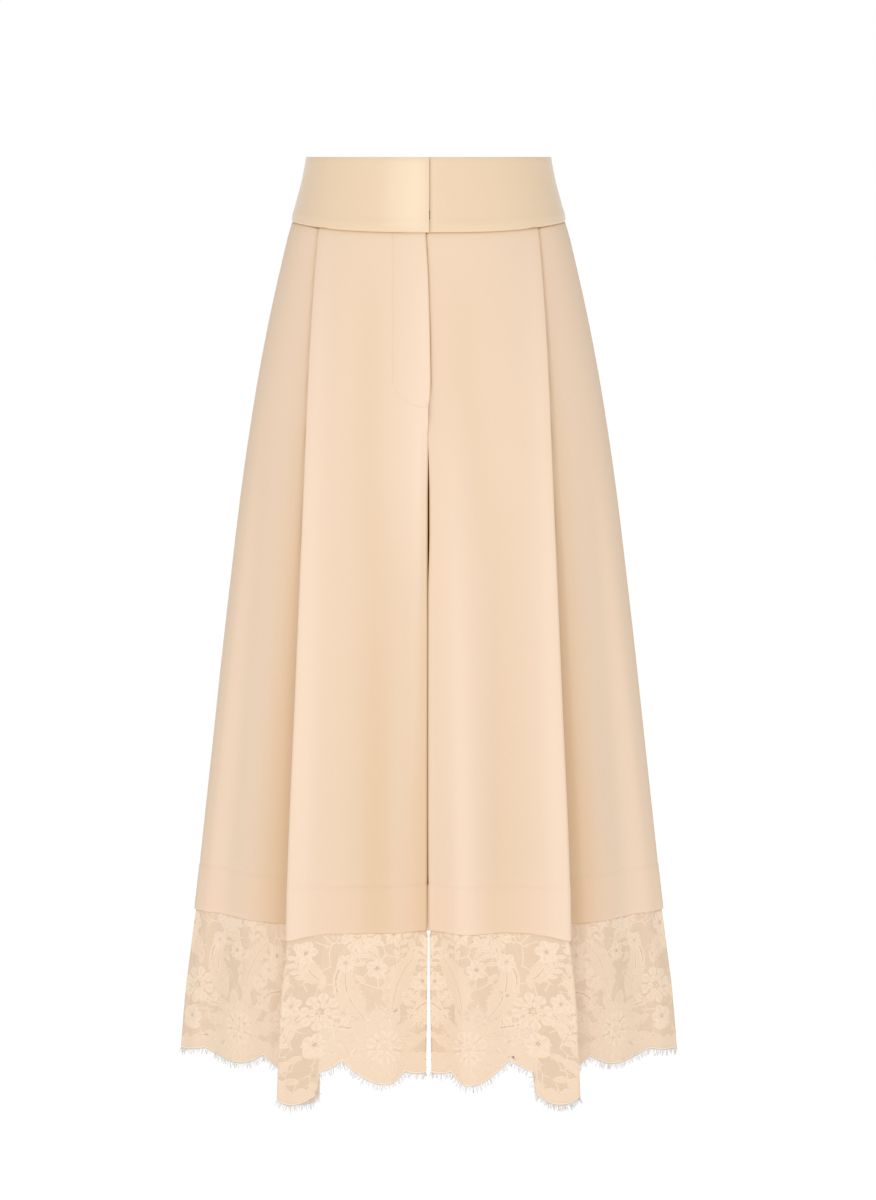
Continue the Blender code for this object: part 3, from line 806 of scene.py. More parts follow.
crepe, satin, net, lacework = crepeFinish(), satinFinish(), netFinish(), motifFinish()
darkSteel = plainFinish("dark steel", (0.10, 0.09, 0.07), (0.17, 0.15, 0.12), 0.35, Metallic=1.0)
fringe = plainFinish("fringe", (0.60, 0.57, 0.54), (0.80, 0.77, 0.74), 0.7, Sheen_Weight=0.2)
# darker than the tone-on-tone thread: painted shade along the sunk line of the fly's topstitching
sewing = plainFinish("sewing thread", (0.60, 0.43, 0.29), (0.72, 0.54, 0.38), 0.6)
paleSewing = plainFinish("pale thread", (0.76, 0.57, 0.41), (0.85, 0.66, 0.50), 0.6)
tape = plainFinish("zip tape", (0.60, 0.45, 0.33), (0.72, 0.55, 0.41), 0.8)
steel = plainFinish("brushed steel", (0.30, 0.28, 0.26), (0.46, 0.43, 0.40), 0.3, Metallic=1.0)
print("finishes made")

camera = {"x": 9.6, "back": 3620.0, "tiltDown": 7.21, "focal": 3502.0 / 1200.0, "sensor": 24.0}


def setCamera():
    lens = bpy.data.cameras.new("camera")
    lens.sensor_fit = "VERTICAL"
    lens.sensor_height = camera["sensor"]
    lens.lens = camera["focal"] * camera["sensor"]
    obj = linked("camera", lens)
    obj.location = (camera["x"] * mm, -camera["back"] * mm, 0.0)
    obj.rotation_euler = (math.radians(90 - camera["tiltDown"]), 0.0, 0.0)
    bpy.context.scene.camera = obj


studio = {
    "backdrop": 1.0,
    "sky": 0.49,
    "floor": -1.9,
    "floorReach": 60.0,
    "floorGlow": 0.56,
    "aim": (0.0, 0.0, -0.4),
}
Lamp = namedtuple("Lamp", "name place width height power")
lamps = (
    Lamp("key", (0.05, -3.2, 1.0), 1.5, 1.5, 29.8),
    Lamp("strip", (-0.78, -3.4, 0.6), 0.25, 1.5, 13.0),  # a narrow upright panel for the satin's sheen
)


def setStudio():
    scene = bpy.context.scene
    scene.view_settings.view_transform = "Standard"
    world = bpy.data.worlds.new("studio")
    world.use_nodes = True
    seen, mirrored = [nodeOf(world.node_tree, "ShaderNodeLightPath", {}, {}, output) for output in (0, 3)]
    strength = studio["sky"] + (studio["backdrop"] - studio["sky"]) * seen.larger(mirrored)
    background = world.node_tree.nodes["Background"]
    background.inputs["Color"].default_value = (1.0, 1.0, 1.0, 1.0)
    world.node_tree.links.new(strength.socket, background.inputs["Strength"])
    scene.world = world
    for lamp in lamps:
        light = bpy.data.lights.new(lamp.name, "AREA")
        light.shape, light.size, light.size_y, light.energy = "RECTANGLE", lamp.width, lamp.height, lamp.power
        obj = linked(lamp.name, light)
        obj.location = lamp.place
        obj.visible_glossy = lamp.name == "strip"
        obj.rotation_euler = (Vector(studio["aim"]) - obj.location).to_track_quat("-Z", "Y").to_euler()
    reach = studio["floorReach"] / mm
    corners = np.array([(x, y, -studio["floor"] / mm) for x, y in
                        ((-reach, -reach), (reach, -reach), (reach, reach), (-reach, reach))])
    floor = meshFrom("floor", corners, [(0, 1, 2, 3)])
    pale = Finish("pale floor", Base_Color=(0.86, 0.86, 0.86, 1), Roughness=0.9,
                  Emission_Color=(1, 1, 1, 1), Emission_Strength=studio["floorGlow"])
    floor.data.materials.append(pale.material)
    floor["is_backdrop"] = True


setCamera()
setStudio()
print("camera and studio set")

leg = {
    "wall": 1.2,
    "columnStep": 6.0,
    "levels": [84, 92, 100, *range(110, 230, 10), 236, 243, 250, 258, 266, 275, *range(285, 735, 10)],
    "hemLevels": [733, 735, 737, 739, 742, *range(748, 782, 6), 783.5, 785],
    # rows by how far they lie below the seam and out from it
    "seamRoll": ((-5.0, -3.2), (-0.7, -3.0), (0.3, -1.7), (1.1, -0.6), (2.6, -0.1)),
    # painted shadow in the waist seam under the band
    "seamShadeTones": (-2.2, -2.2, -1.9, -1.0, -0.2),  # for each row of seamRoll
    "firstRow": 0.45,  # where the row between the seam and the first level lies
    "straightEdge": 0.07,  # stations over which a leg's pressed edge keeps clear of the creases
    "hemRise": 0.35,
    "hemRiseOver": 4.0,
    "hemGroove": 0.35,
    "hemGrooveWidth": 1.6,
    "hemRoll": 0.4,
    "hemRollFrom": 2.5,
    "flyReach": 60.0,  # past this x a front has no fly layers
    "flyRise": 0.5,
    "flyRiseOver": (0.5, 3.5),
    "stitchSink": 0.75,
    "stitchWidth": 1.3,
    "lapRoll": 0.9,  # how far the lap's very edge turns in
    "lapRollOver": 1.6,
    "backMeets": 0.7,  # how far the backs pass each other below the crotch, so no light comes through
    "backMeetsApart": 2.4,
    "backMeetsWidth": 0.13,  # in stations, as are the front's and the edge's
    "backMeetsEnd": 768.0,
    "backsPart": (232.0, 252.0),
    "frontMeetsWidth": 0.05,
    # painted shade on the cloth seen between the legs
    "tunnelShadeTone": -2.0,  # between the legs
    "tunnelTop": 12.0,
    "tunnelIn": (0.003, 0.02),  # it starts and ends by the stations of the inner side
    "tunnelOut": (0.6, 0.95),
    # painted shade along the fronts' inner edges, where the cloth rolls in
    "edgeShadeTones": ((275.0, 0.0), (310.0, -1.4), (335.0, -2.4), (400.0, -2.2), (470.0, -1.3), (785.0, -1.0)),
    "edgeWidth": 0.011,
    "leftEdgeShare": 0.35,  # of that tone
    "besideFold": 1.3,  # the shadow line beside the pleat's fold
    "besideWidth": 1.3,
    "besideFrom": 2.05,
    "besideTones": ((66.0, -1.2), (300.0, -0.9), (420.0, -0.5), (560.0, -0.1), (785.0, 0.0)),
    # painted shadow on the underlap just past the lap's edge
    "underLapShadeTone": -1.9,
    "underLapWidth": 1.2,
    "underLapShift": 0.4,
    "underLapFade": 5.0,
    "edgeColumns": 11,
    "stitchX": 35.5,
    "stitchTurn": 222.0,
    "stitchEnd": 249.0,
}


def legSurface(line, seamLevel, counts, stations, corner, folds, sideIsLapped=None):
    options = {} if sideIsLapped is None else {"lapped": sideIsLapped}
    top = fineLine(line(seamLevel, seam=True, **options), counts)
    rows = []
    for below, out in leg["seamRoll"]:
        row = top + (0, 0, below)
        row[:, :2] *= (1 + out / np.linalg.norm(row[:, :2], axis=1))[:, None]
        rows.append(row)
    levels = leg["levels"] + leg["hemLevels"]
    lower = [fineLine(line(level, **options), counts, corner) for level in levels]
    rows.append(mix(top + (0, 0, leg["seamRoll"][-1][0]), lower[0], leg["firstRow"]))
    places = np.stack(rows + lower)
    rise = creaseSum(folds, stations, places[..., 2], "rise")
    away = (stations - stations[sum(counts[:corner])]) * (1 if stations[0] < 0 else -1)
    held = soft(away, 0.0, leg["straightEdge"])
    return moveOut(places, rise * mix(1.0, held, soft(places[..., 2], cut["crotchBack"], cut["crotchFront"])))


def hemBand(places):
    # the turned-up hem is a second layer, so it stands a little prouder below its stitches
    start = cut["hem"] - cut["hemTurning"]
    step = leg["hemRise"] * soft(places[..., 2], start, start + leg["hemRiseOver"])
    groove = -leg["hemGroove"] * np.exp(-(((places[..., 2] - start) / leg["hemGrooveWidth"]) ** 2))
    edge = -leg["hemRoll"] * soft(places[..., 2], cut["hem"] - leg["hemRollFrom"], cut["hem"])
    return moveOut(places, np.nan_to_num(step + groove + edge))


def meetAtBack(places, stations, side):
    # under the crotch one leg's back edge lies just behind the other's
    depths = places[..., 2]
    near = soft(1 - abs(stations - 1) / leg["backMeetsWidth"], 0.0, 1.0)
    near = near * soft(depths, *leg["backsPart"]) * (1 - soft(depths, leg["backMeetsEnd"], cut["hem"]))
    gap = mix(cut["gapAtCrotch"], cut["gapAtHem"], shareOf(depths, cut["crotchBack"], cut["hem"]))
    places[..., 0] -= near * (gap + leg["backMeets"])
    if side > 0:
        places[..., 1] -= near * leg["backMeetsApart"]
    return places


# How far the left front's edge reaches towards the right one's at each depth, and how far behind it lies
Meeting = namedtuple("Meeting", "depth reach behind")
meetings = (
    Meeting(230, 0.0, 0.0),
    Meeting(250, 2.0, 1.3),
    Meeting(276, 2.0, 1.3),
    Meeting(290, 0.8, 0.6),
    Meeting(305, 0.3, 0.2),
    Meeting(330, -0.5, 0.0),
    Meeting(375, -0.6, 0.0),
    Meeting(430, 1.0, -0.2),
    Meeting(560, 1.35, -0.2),
    Meeting(670, 1.6, -0.2),
    Meeting(730, 1.4, -0.2),
    Meeting(785, 1.3, 0.0),
)


def meetAtFront(places, stations):
    near = soft(1 - abs(stations) / leg["frontMeetsWidth"], 0.0, 1.0)
    reach, behind = [np.interp(places[..., 2], column(meetings, "depth"), column(meetings, name))
                     for name in ("reach", "behind")]
    places[..., 0] -= near * reach
    places[..., 1] += near * behind
    return places


def shade(places, stations, part, lapped):
    # painted shade: darker in the waist seam, between the legs, at the fronts' inner edges, beside the
    # pleat's fold and on the underlap just past the lap's edge
    depths = places[..., 2]
    tone = np.zeros(depths.shape)
    tone[: len(leg["seamShadeTones"])] += np.array(leg["seamShadeTones"])[:, None]
    inside = -stations if part == "front" else stations - 1
    below = soft(depths, cut["crotchBack"], cut["crotchBack"] + leg["tunnelTop"])
    within = soft(inside, *leg["tunnelIn"]) * (1 - soft(inside, *leg["tunnelOut"]))
    tone += leg["tunnelShadeTone"] * below * within
    if part == "front":
        atEdge = np.exp(-((stations / leg["edgeWidth"]) ** 2)) * (1.0 if lapped else leg["leftEdgeShare"])
        tone += atEdge * np.interp(depths, *np.transpose(leg["edgeShadeTones"]))
        fold = np.interp(depths, column(pleats, "depth"), column(pleats, "foldX")) + leg["besideFold"]
        beside = np.exp(-(((places[..., 0] - fold) / leg["besideWidth"]) ** 2))
        beside *= stations > leg["besideFrom"]
        tone += beside * np.interp(depths, *np.transpose(leg["besideTones"]))
    if part == "front" and not lapped:
        lap = np.interp(depths, column(laps, "depth"), column(laps, "reach"))
        near = np.exp(-(((places[..., 0] - lap - leg["underLapShift"]) / leg["underLapWidth"]) ** 2))
        end = cut["flySplitEnd"] - leg["underLapFade"]
        tone += leg["underLapShadeTone"] * near * (1 - soft(depths, end, cut["flyJoined"]))
    return np.nan_to_num(tone)


def flyLine(depth):
    # x of the J of topstitching on the lapped front
    down = shareOf(depth, leg["stitchTurn"], leg["stitchEnd"])
    return leg["stitchX"] * np.sqrt(np.maximum(0.0, 1 - down**2))


def flyLayers(places):
    inside = flyLine(places[..., 2]) - np.abs(places[..., 0])
    shown = (places[..., 2] < leg["stitchEnd"]) & (places[..., 0] < leg["flyReach"])
    sunk = leg["stitchSink"] * np.exp(-((inside / leg["stitchWidth"]) ** 2))
    rise = leg["flyRise"] * soft(inside, *leg["flyRiseOver"]) - sunk
    fromEdge = places[..., 0] - np.nanmin(places[..., 0], axis=1)[:, None]
    rise -= leg["lapRoll"] * (1 - soft(fromEdge, 0.0, leg["lapRollOver"]))
    return moveOut(places, np.nan_to_num(np.where(shown, rise, 0.0)))


def makeLeg(side, name):
    lapped = side < 0
    hem = frontLine(cut["hem"], lapped)
    counts = columnCounts(hem, leg["columnStep"])
    counts[cornerOf["front"]] = leg["edgeColumns"]
    frontColumns = fineStations(frontStations, counts)
    front = legSurface(frontLine, cut["seamFront"], counts, frontColumns, cornerOf["front"],
                       creases[f"front{name}"], lapped)
    front = hemBand(front)
    front = flyLayers(front) if lapped else meetAtFront(front, frontColumns)
    counts = columnCounts(backLine(cut["hem"]), leg["columnStep"])
    backColumns = fineStations(backStations, counts)
    back = hemBand(legSurface(backLine, cut["seamBack"], counts, backColumns, cornerOf["back"],
                              creases[f"back{name}"]))
    back = meetAtBack(back, backColumns, side)
    for places, columns, part, area, flat in ((front, frontColumns, "front", 0.292, (0.51, 0.73)),
                                              (back, backColumns, "back", 0.247, (0.43, 0.72))):
        tone = creaseSum(creases[f"{part}{name}"], columns, places[..., 2], "tone")
        tone += shade(places, columns, part, lapped)
        uv = clothUv(places, cut["hem"])
        obj = clothPiece(f"{part}_{name.lower()}_crepe", places, side, uv, leg["wall"], crepe, tone)
        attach(obj, "root")
        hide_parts(f"{part}_{name.lower()}")
    return front, back


fronts, backs = {}, {}
for side, name in ((1, "Left"), (-1, "Right")):
    fronts[name], backs[name] = makeLeg(side, name)
print("legs made")

band = {
    "wall": 1.6,
    "columnStep": 5.0,
    "rows": 24,
    "rowPower": 0.9,  # the rows crowd towards the seam
    "frontShares": (0.09, 0.18, 0.32, 0.46, 0.6, 0.72, 0.82, 0.9, 0.95, 0.985),
    "backShares": (0.985, 0.95, 0.9, 0.82, 0.72, 0.6, 0.45, 0.3, 0.15),
    "ridgeUp": 8.5,  # above the waist seam
    "ridgeWidth": 4.0,
    "ridgeRise": 0.6,
    "roll": 1.5,  # how far the lower edge turns in
    "rollFrom": 2.4,
    "underLap": 2.4,  # how much nearer the underlap comes to the lap, just past the opening
    "underLapFrom": (-3.0, 3.5),
    "bevel": 0.5,
    "bevelAngle": 50.0,
}
# Their tones paint a sheen on the satin
bandCreases = {
    "right": (
        Crease(-4, 2, -60, 135, 22, 1.7),
        Crease(14, 2, -60, 135, 20, 0.0, 0.85),
        Crease(30, 5, -25, 85, 9, -0.3),
        Crease(62, -6, 0, 100, 13, -0.4),
        Crease(104, 4, -30, 80, 12, 0.4),
    ),
    "left": (
        Crease(30, -4, -30, 90, 12, -0.35),
        Crease(76, 5, -10, 90, 14, 0.4),
        Crease(112, 2, 0, 95, 9, -0.35),
    ),
    "back": (
        Crease(-80, 6, -20, 90, 18, 0.5, 0.5),
        Crease(-22, -5, 0, 95, 14, -0.5),
        Crease(48, 5, -25, 80, 16, 0.5, 0.4),
    ),
}


def bandFrontSection(depth, reach, setback):
    width, out = smoothAt(sections, "halfWidth", depth), smoothAt(sections, "front", depth)
    places = [-reach, -reach / 2, 0.0] if setback else [-reach]
    x = np.array(places + [width * share for share in band["frontShares"]])
    points = list(np.column_stack([x, -hip(np.abs(x), width, out)]))
    return setBack(points + [(width, -cut["seamStraight"]), (width, -cut["seamGap"] / 2)], setback)


def bandBackSection(depth):
    width, out = smoothAt(sections, "halfWidth", depth), smoothAt(sections, "back", depth)
    x = width * np.array(band["backShares"])
    half = np.vstack([[(width, cut["seamGap"] / 2), (width, cut["seamStraight"])],
                      np.column_stack([x, hip(x, width, out)])])
    return np.vstack([half, [(0.0, out)], half[::-1] * (-1, 1)])


def bandPlaces(section, seamCentre, folds):
    deep = section(seamCentre)
    seam = seamDepth(deep[:, 0], seamCentre, seamCentre) - cut["seamGap"] / 2
    counts = columnCounts(deep, band["columnStep"])
    rows = []
    for t in np.sin(np.linspace(0, 1, band["rows"]) * math.pi / 2) ** band["rowPower"]:
        coarse = np.array([(*section(depth)[i], depth) for i, depth in enumerate(t * seam)])
        rows.append(fineLine(coarse, counts))
    places = np.stack(rows)
    toSeam = places[-1, :, 2] - places[..., 2]
    rise = band["ridgeRise"] * np.exp(-(((toSeam - band["ridgeUp"]) / band["ridgeWidth"]) ** 2))
    rise -= band["roll"] * (1 - soft(toSeam, 0.0, band["rollFrom"]))
    rise += creaseSum(folds, places[..., 0], places[..., 2], "rise")
    return moveOut(places, rise)


def underLap(places):
    # the underlap springs forward beside the opening
    x = places[..., 0]
    faded = 1 - shareOf(x, 0.0, cut["underlapFade"])
    return moveOut(places, band["underLap"] * soft(x, *band["underLapFrom"]) * faded)


def makeBand(name, side, places, folds):
    tone = creaseSum(folds, places[..., 0], places[..., 2], "tone")
    obj = clothPiece(f"waistband_{name}_satin", places, side, clothUv(places, 0.0), band["wall"], satin, tone)
    edge = obj.modifiers.new("edges", "BEVEL")
    edge.width, edge.segments = band["bevel"] * mm, 2
    edge.limit_method, edge.angle_limit = "ANGLE", math.radians(band["bevelAngle"])
    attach(obj, "root")
    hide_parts(f"waistband_{name}")


right = bandPlaces(lambda d: bandFrontSection(d, cut["bandLap"], 0.0), cut["seamFront"], bandCreases["right"])
left = underLap(bandPlaces(lambda d: bandFrontSection(d, cut["extension"], cut["extensionSetback"]),
                           cut["seamFront"], bandCreases["left"]))
back = bandPlaces(bandBackSection, cut["seamBack"], bandCreases["back"])
makeBand("front_right", -1, right, bandCreases["right"])
makeBand("front_left", 1, left, bandCreases["left"])
makeBand("back", 1, back, bandCreases["back"])
print("waistband made")

closure = {
    "shieldFrom": -36.0,
    "shieldTo": 10.0,
    "shieldTop": 75.4,
    "shieldEnd": 252.0,
    "shieldSetback": 3.6,
    "shieldColumns": 14,
    "shieldRows": 40,
    "shieldMeasured": 160.0,
    "zipX": -11.5,
    "zipTop": 80.0,
    "zipEnd": 240.0,
    "zipSetback": 2.7,
    "zipPathStep": 8.0,
    "toothStep": 1.5,
    "tooth": (2.6, 0.5, 0.9),
    "hookFrom": -17.0,
    "hookTo": 1.5,  # its end shows just past the lap's edge
    "hookTop": 53.5,
    "hookEnd": 61.5,
    "hookSetback": 0.35,
    "hookWall": 0.5,
    "hookColumns": 12,
    "loopAbove": (2.3, 1.4),  # the thread loop, from the hook's top
}


def behindFront(x, depth, setback):
    width, reach = smoothAt(sections, "halfWidth", depth), smoothAt(sections, "front", depth)
    return (x, mix(-hip(abs(x), width, reach), frontAtHem[0].y, flare(depth)) + setback, depth)


def makeShield():
    across = np.linspace(closure["shieldFrom"], closure["shieldTo"], closure["shieldColumns"])
    down = np.linspace(closure["shieldTop"], closure["shieldEnd"], closure["shieldRows"])
    places = np.array([[behindFront(x, depth, closure["shieldSetback"]) for x in across] for depth in down])
    uv = clothUv(places, closure["shieldMeasured"])
    obj = clothPiece("fly_shield_crepe", places, 1, uv, leg["wall"], crepe)
    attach(obj, "root")
    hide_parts("fly_shield")


def makeHook():
    # a flat plate behind the lap; only its end and the thread loop's dot above it can be seen
    across = np.linspace(closure["hookFrom"], closure["hookTo"], closure["hookColumns"])
    loop = [closure["hookTop"] - above for above in closure["loopAbove"]]
    down = (*loop, 0.0, closure["hookTop"], closure["hookEnd"])
    places = np.array([[behindFront(x, depth, closure["hookSetback"]) for x in across] for depth in down])
    places[2] = np.nan  # the gap between them
    places[:2, across < 0] = np.nan
    obj = clothPiece("waist_hook_plate", places, 1, places[..., ::2], closure["hookWall"], darkSteel)
    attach(obj, "root")
    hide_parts("waist_hook")


makeShield()
makeHook()


def groupTree(name, inputs):
    # a Geometry Nodes tree with named inputs, ready for its nodes
    tree = bpy.data.node_groups.new(name, "GeometryNodeTree")
    tree.interface.new_socket("Geometry", in_out="INPUT", socket_type="NodeSocketGeometry")
    tree.interface.new_socket("Geometry", in_out="OUTPUT", socket_type="NodeSocketGeometry")
    for label, kind in inputs.items():
        tree.interface.new_socket(label, in_out="INPUT", socket_type=f"NodeSocket{kind}")
    given = tree.nodes.new("NodeGroupInput")
    return tree, {socket.name: Wire(tree, socket) for socket in given.outputs if socket.name}


def grow(obj, tree, values):
    # set the inputs by identifier, then keep the result as a plain mesh
    modifier = obj.modifiers.new("repeat", "NODES")
    modifier.node_group = tree
    for item in tree.interface.items_tree:
        if item.in_out == "INPUT" and item.name in values:
            modifier[item.identifier] = values[item.name]
    evaluated = obj.evaluated_get(bpy.context.evaluated_depsgraph_get())
    mesh = bpy.data.meshes.new_from_object(evaluated)
    obj.modifiers.remove(modifier)
    obj.data = mesh
    return obj


def finishTree(tree, geometry, material):
    real = nodeOf(tree, "GeometryNodeRealizeInstances", {}, {0: geometry})
    done = nodeOf(tree, "GeometryNodeSetMaterial", {}, {"Geometry": real, "Material": material})
    out = tree.nodes.new("NodeGroupOutput")
    tree.links.new(done.socket, out.inputs[0])


sewn = {
    "step": 2.5,
    "length": 2.0,
    "radius": 0.22,
    "flyTop": 77.5,
    "flyStep": 4.0,
    "curvePoints": 14,
    "withinX": 90.0,  # the stitched part of a front ends before this
    "tackStep": 0.7,
    "tackLength": 1.1,
    "tackPoints": 14,
    "tackX": (1.5, 2.4),
    "tackEnd": 1.0,  # above the end of the topstitching
    "tackRow": 0.35,
    "hemDepth": 737,
    "hemStep": 6.5,
    "hemLength": 0.9,
    "hemRadius": 0.2,
}


def evenPath(tree, given):
    path = nodeOf(tree, "GeometryNodeMeshToCurve", {}, {0: given["Geometry"]})
    steps = {"Curve": path, "Length": given["Step"]}
    return nodeOf(tree, "GeometryNodeResampleCurve", {"mode": "LENGTH"}, steps)


def stitchTree():
    # a short rounded stitch at even steps along each path, turned to its run
    tree, given = groupTree("stitches", {"Step": "Float", "Length": "Float", "Radius": "Float",
                                         "Finish": "Material"})
    even = evenPath(tree, given)
    bead = nodeOf(tree, "GeometryNodeMeshIcoSphere", {}, {"Radius": 1.0, "Subdivisions": 1})
    run = nodeOf(tree, "GeometryNodeInputTangent", {}, {})
    turn = nodeOf(tree, "FunctionNodeAlignRotationToVector", {"axis": "Z"}, {"Vector": run})
    size = nodeOf(tree, "ShaderNodeCombineXYZ", {}, {0: given["Radius"], 1: given["Radius"],
                                                     2: given["Length"] * 0.5})
    placed = nodeOf(tree, "GeometryNodeInstanceOnPoints", {}, {"Points": even, "Instance": bead,
                                                              "Rotation": turn, "Scale": size})
    finishTree(tree, placed, given["Finish"])
    return tree


stitches = stitchTree()


def stitchLine(name, paths, side, step, length, radius, thread=sewing):
    places, edges = [], []
    for path in paths:
        edges += chain(len(path), len(places))
        places += list(path * (side, 1, 1))
    obj = edgesObject(name, np.array(places) * (mm, mm, -mm), edges)
    values = {"Step": step * mm, "Length": length * mm, "Radius": radius * mm, "Finish": thread}
    grow(obj, stitches, values)
    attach(obj, "root")


def spotOn(places, x, depth):
    # the place on a front panel at x and depth, a little proud of its cloth
    depths = np.nanmean(places[..., 2], axis=1)
    row = int(np.clip(np.searchsorted(depths, depth) - 1, 0, len(depths) - 2))
    share = (depth - depths[row]) / (depths[row + 1] - depths[row])
    spots = []
    for line in places[row : row + 2]:
        line = line[~np.isnan(line[:, 0])]
        line = line[: int(np.argmax(line[:, 0] > sewn["withinX"]))]
        spots.append(np.interp(x, line[:, 0], line[:, 1]))
    return (x, mix(*spots, share) - leg["wall"] / 2, depth)


def makeStitches():
    front = fronts["Right"]
    x, turn = leg["stitchX"], leg["stitchTurn"]
    run = leg["stitchEnd"] - turn
    path = [spotOn(front, x, depth) for depth in np.arange(sewn["flyTop"], turn, sewn["flyStep"])]
    for angle in np.linspace(0, math.pi / 2, sewn["curvePoints"])[:-1]:
        path.append(spotOn(front, x * math.cos(angle), turn + run * math.sin(angle)))
    stitchLine("fly_stitches", [np.array(path)], -1, sewn["step"], sewn["length"], sewn["radius"])
    last, points = leg["stitchEnd"] - sewn["tackEnd"], range(sewn["tackPoints"])
    tack = [spotOn(front, sewn["tackX"][i % 2], last - sewn["tackRow"] * i) for i in points]
    stitchLine("fly_bar_tack", [np.array(tack)], -1, sewn["tackStep"], sewn["tackLength"], sewn["radius"],
               paleSewing)
    for side, name in ((1, "Left"), (-1, "Right")):
        paths = []
        for places in (fronts[name], backs[name]):
            row = len(leg["seamRoll"]) + 1 + (leg["levels"] + leg["hemLevels"]).index(sewn["hemDepth"])
            paths.append(moveOut(places, leg["wall"] / 2)[row][1:-1])
        paths = [path[~np.isnan(path[:, 0])] for path in paths]
        stitchLine(f"hem_stitches_{name.lower()}", paths, side, sewn["hemStep"], sewn["hemLength"],
                   sewn["hemRadius"], paleSewing)


makeStitches()


def toothTree():
    # a small block at even steps down the zip
    tree, given = groupTree("teeth", {"Step": "Float", "Size": "Vector", "Finish": "Material"})
    even = evenPath(tree, given)
    block = nodeOf(tree, "GeometryNodeMeshCube", {}, {"Size": given["Size"]})
    placed = nodeOf(tree, "GeometryNodeInstanceOnPoints", {}, {"Points": even, "Instance": block})
    finishTree(tree, placed, given["Finish"])
    return tree


def makeTeeth():
    down = np.arange(closure["zipTop"], closure["zipEnd"], closure["zipPathStep"])
    path = np.array([behindFront(closure["zipX"], depth, closure["zipSetback"]) for depth in down])
    obj = edgesObject("zip_teeth", path * (mm, mm, -mm), chain(len(path)))
    size = tuple(side * mm for side in closure["tooth"])
    grow(obj, toothTree(), {"Step": closure["toothStep"] * mm, "Size": size, "Finish": tape})
    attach(obj, "root")


makeTeeth()
print("stitches and zip made")

lace = {
    "wall": 0.5,
    "columnStep": 2.6,
    "levelStep": 5.0,
    "lastLevel": 975.0,
    "rows": 40,
    "cell": 130.0,  # the motifs are drawn for a repeat of this width
    "seamClear": 0.6,
    "edgeStep": 2.0,
    "edgeCord": 2.6,
    "edgeCordLaps": 0.3,
    "edgeCordEnd": 0.4,
    "edgeClear": 1.0,
    "leastInside": 0.5,  # a motif's share inside the edge, or it is left out
    # the painted shade of slits and eyelets lies below this tone
    "holeShadeTone": -0.5,  # an eyelet is darker than this, and it is whole or left out
    "garland": 12.0,  # the filled work above the scalloped edge
    "garlandWave": 5.0,
    "garlandStep": 14.0,
    "rise": 0.5,  # above the net's middle surface
    "springForward": 22.0,  # how far the inner fold comes forward once it is free of the hem
    "springDepths": (790.0, 920.0),
    "springs": ((1.0, 0.0), (1.95, 1.0), (2.05, 1.0), (2.5, 0.0)),  # by station
    # by station, from the light that comes through the doubled lace
    "tones": ((1.01, 0.0), (1.1, 0.75), (2.0, 0.75), (2.2, 0.3), (3.0, 0.3)),
    "edgeNear": 0.08,  # stations over which the legs' edges part
    "bendRow": 10,
    "sharpBend": 0.06,
    "motifToneShare": 0.5,
}
# Half the gap between the legs' lace, at the fronts and the backs
Apart = namedtuple("Apart", "depth front back")
apart = (Apart(785, 2.9, 4.5), Apart(790, 1.1, 4.5), Apart(925, 2.75, 4.5))
Surface = namedtuple("Surface", "levels places out along sag tone")


def laceSurface(line, folds, stations, **options):
    counts = columnCounts(line(cut["laceMeasured"], **options), lace["columnStep"])
    columns = fineStations(stations, counts)
    levels = np.arange(cut["laceStart"], lace["lastLevel"] + 1, lace["levelStep"])
    part = "front" if stations is frontStations else "back"
    corner = cornerOf[part]
    places = np.stack([fineLine(line(level, **options), counts, corner) for level in levels])
    places = moveOut(places, creaseSum(folds, columns, places[..., 2], "rise"))
    if stations is frontStations:
        spring = lace["springForward"] * np.interp(columns, *np.transpose(lace["springs"]))
        places[..., 1] -= spring * soft(places[..., 2], *lace["springDepths"])
    measured = places[int(np.argmin(abs(levels - cut["laceMeasured"])))]
    along = np.concatenate([[0.0], np.cumsum(np.linalg.norm(np.diff(measured[:, :2], axis=0), axis=1))])
    if stations is frontStations:
        along -= np.interp(0.0, columns, along)
    places = moveOut(places, -cut["laceInset"])
    edge = sum(counts[:corner])
    shift = np.interp(places[:, edge, 2], column(apart, "depth"), column(apart, part)) - places[:, edge, 0]
    places[..., 0] += shift[:, None] * soft(1 - abs(columns - columns[edge]) / lace["edgeNear"], 0.0, 1.0)
    tone = np.zeros(len(columns))
    if stations is frontStations:
        tone = np.interp(columns, *np.transpose(lace["tones"]))
    return Surface(levels, places, outwards(places), along, measured[:, 2] - cut["laceMeasured"], tone)


def onSurface(surface, along, level, height):
    # a flat place in the lace, by its run along the trim and its level, laid on the hanging lace
    lastRow, lastColumn = len(surface.levels) - 1.001, len(surface.along) - 1.001
    column = np.clip(np.interp(along, surface.along, np.arange(len(surface.along))), 0, lastColumn)
    row = np.clip((level - surface.levels[0]) / lace["levelStep"], 0, lastRow)
    i, j = row.astype(int), column.astype(int)
    s, t = (row - i)[..., None], (column - j)[..., None]

    def between(table):
        return mix(mix(table[i, j], table[i, j + 1], t), mix(table[i + 1, j], table[i + 1, j + 1], t), s)

    laid = between(surface.places)
    laid[..., :2] += between(surface.out) * np.asarray(height)[..., None]
    return laid


def edgeDepth(turns, along):
    # round at the lows, pointed at the highs
    runs, depths = column(turns, "along"), column(turns, "depth")
    i = np.clip(np.searchsorted(runs, along) - 1, 0, len(runs) - 2)
    start, end = depths[i], depths[i + 1]
    angle = shareOf(along, runs[i], runs[i + 1]) * math.pi / 2
    return np.where(end > start, mix(start, end, np.sin(angle)), mix(end, start, np.cos(angle)))


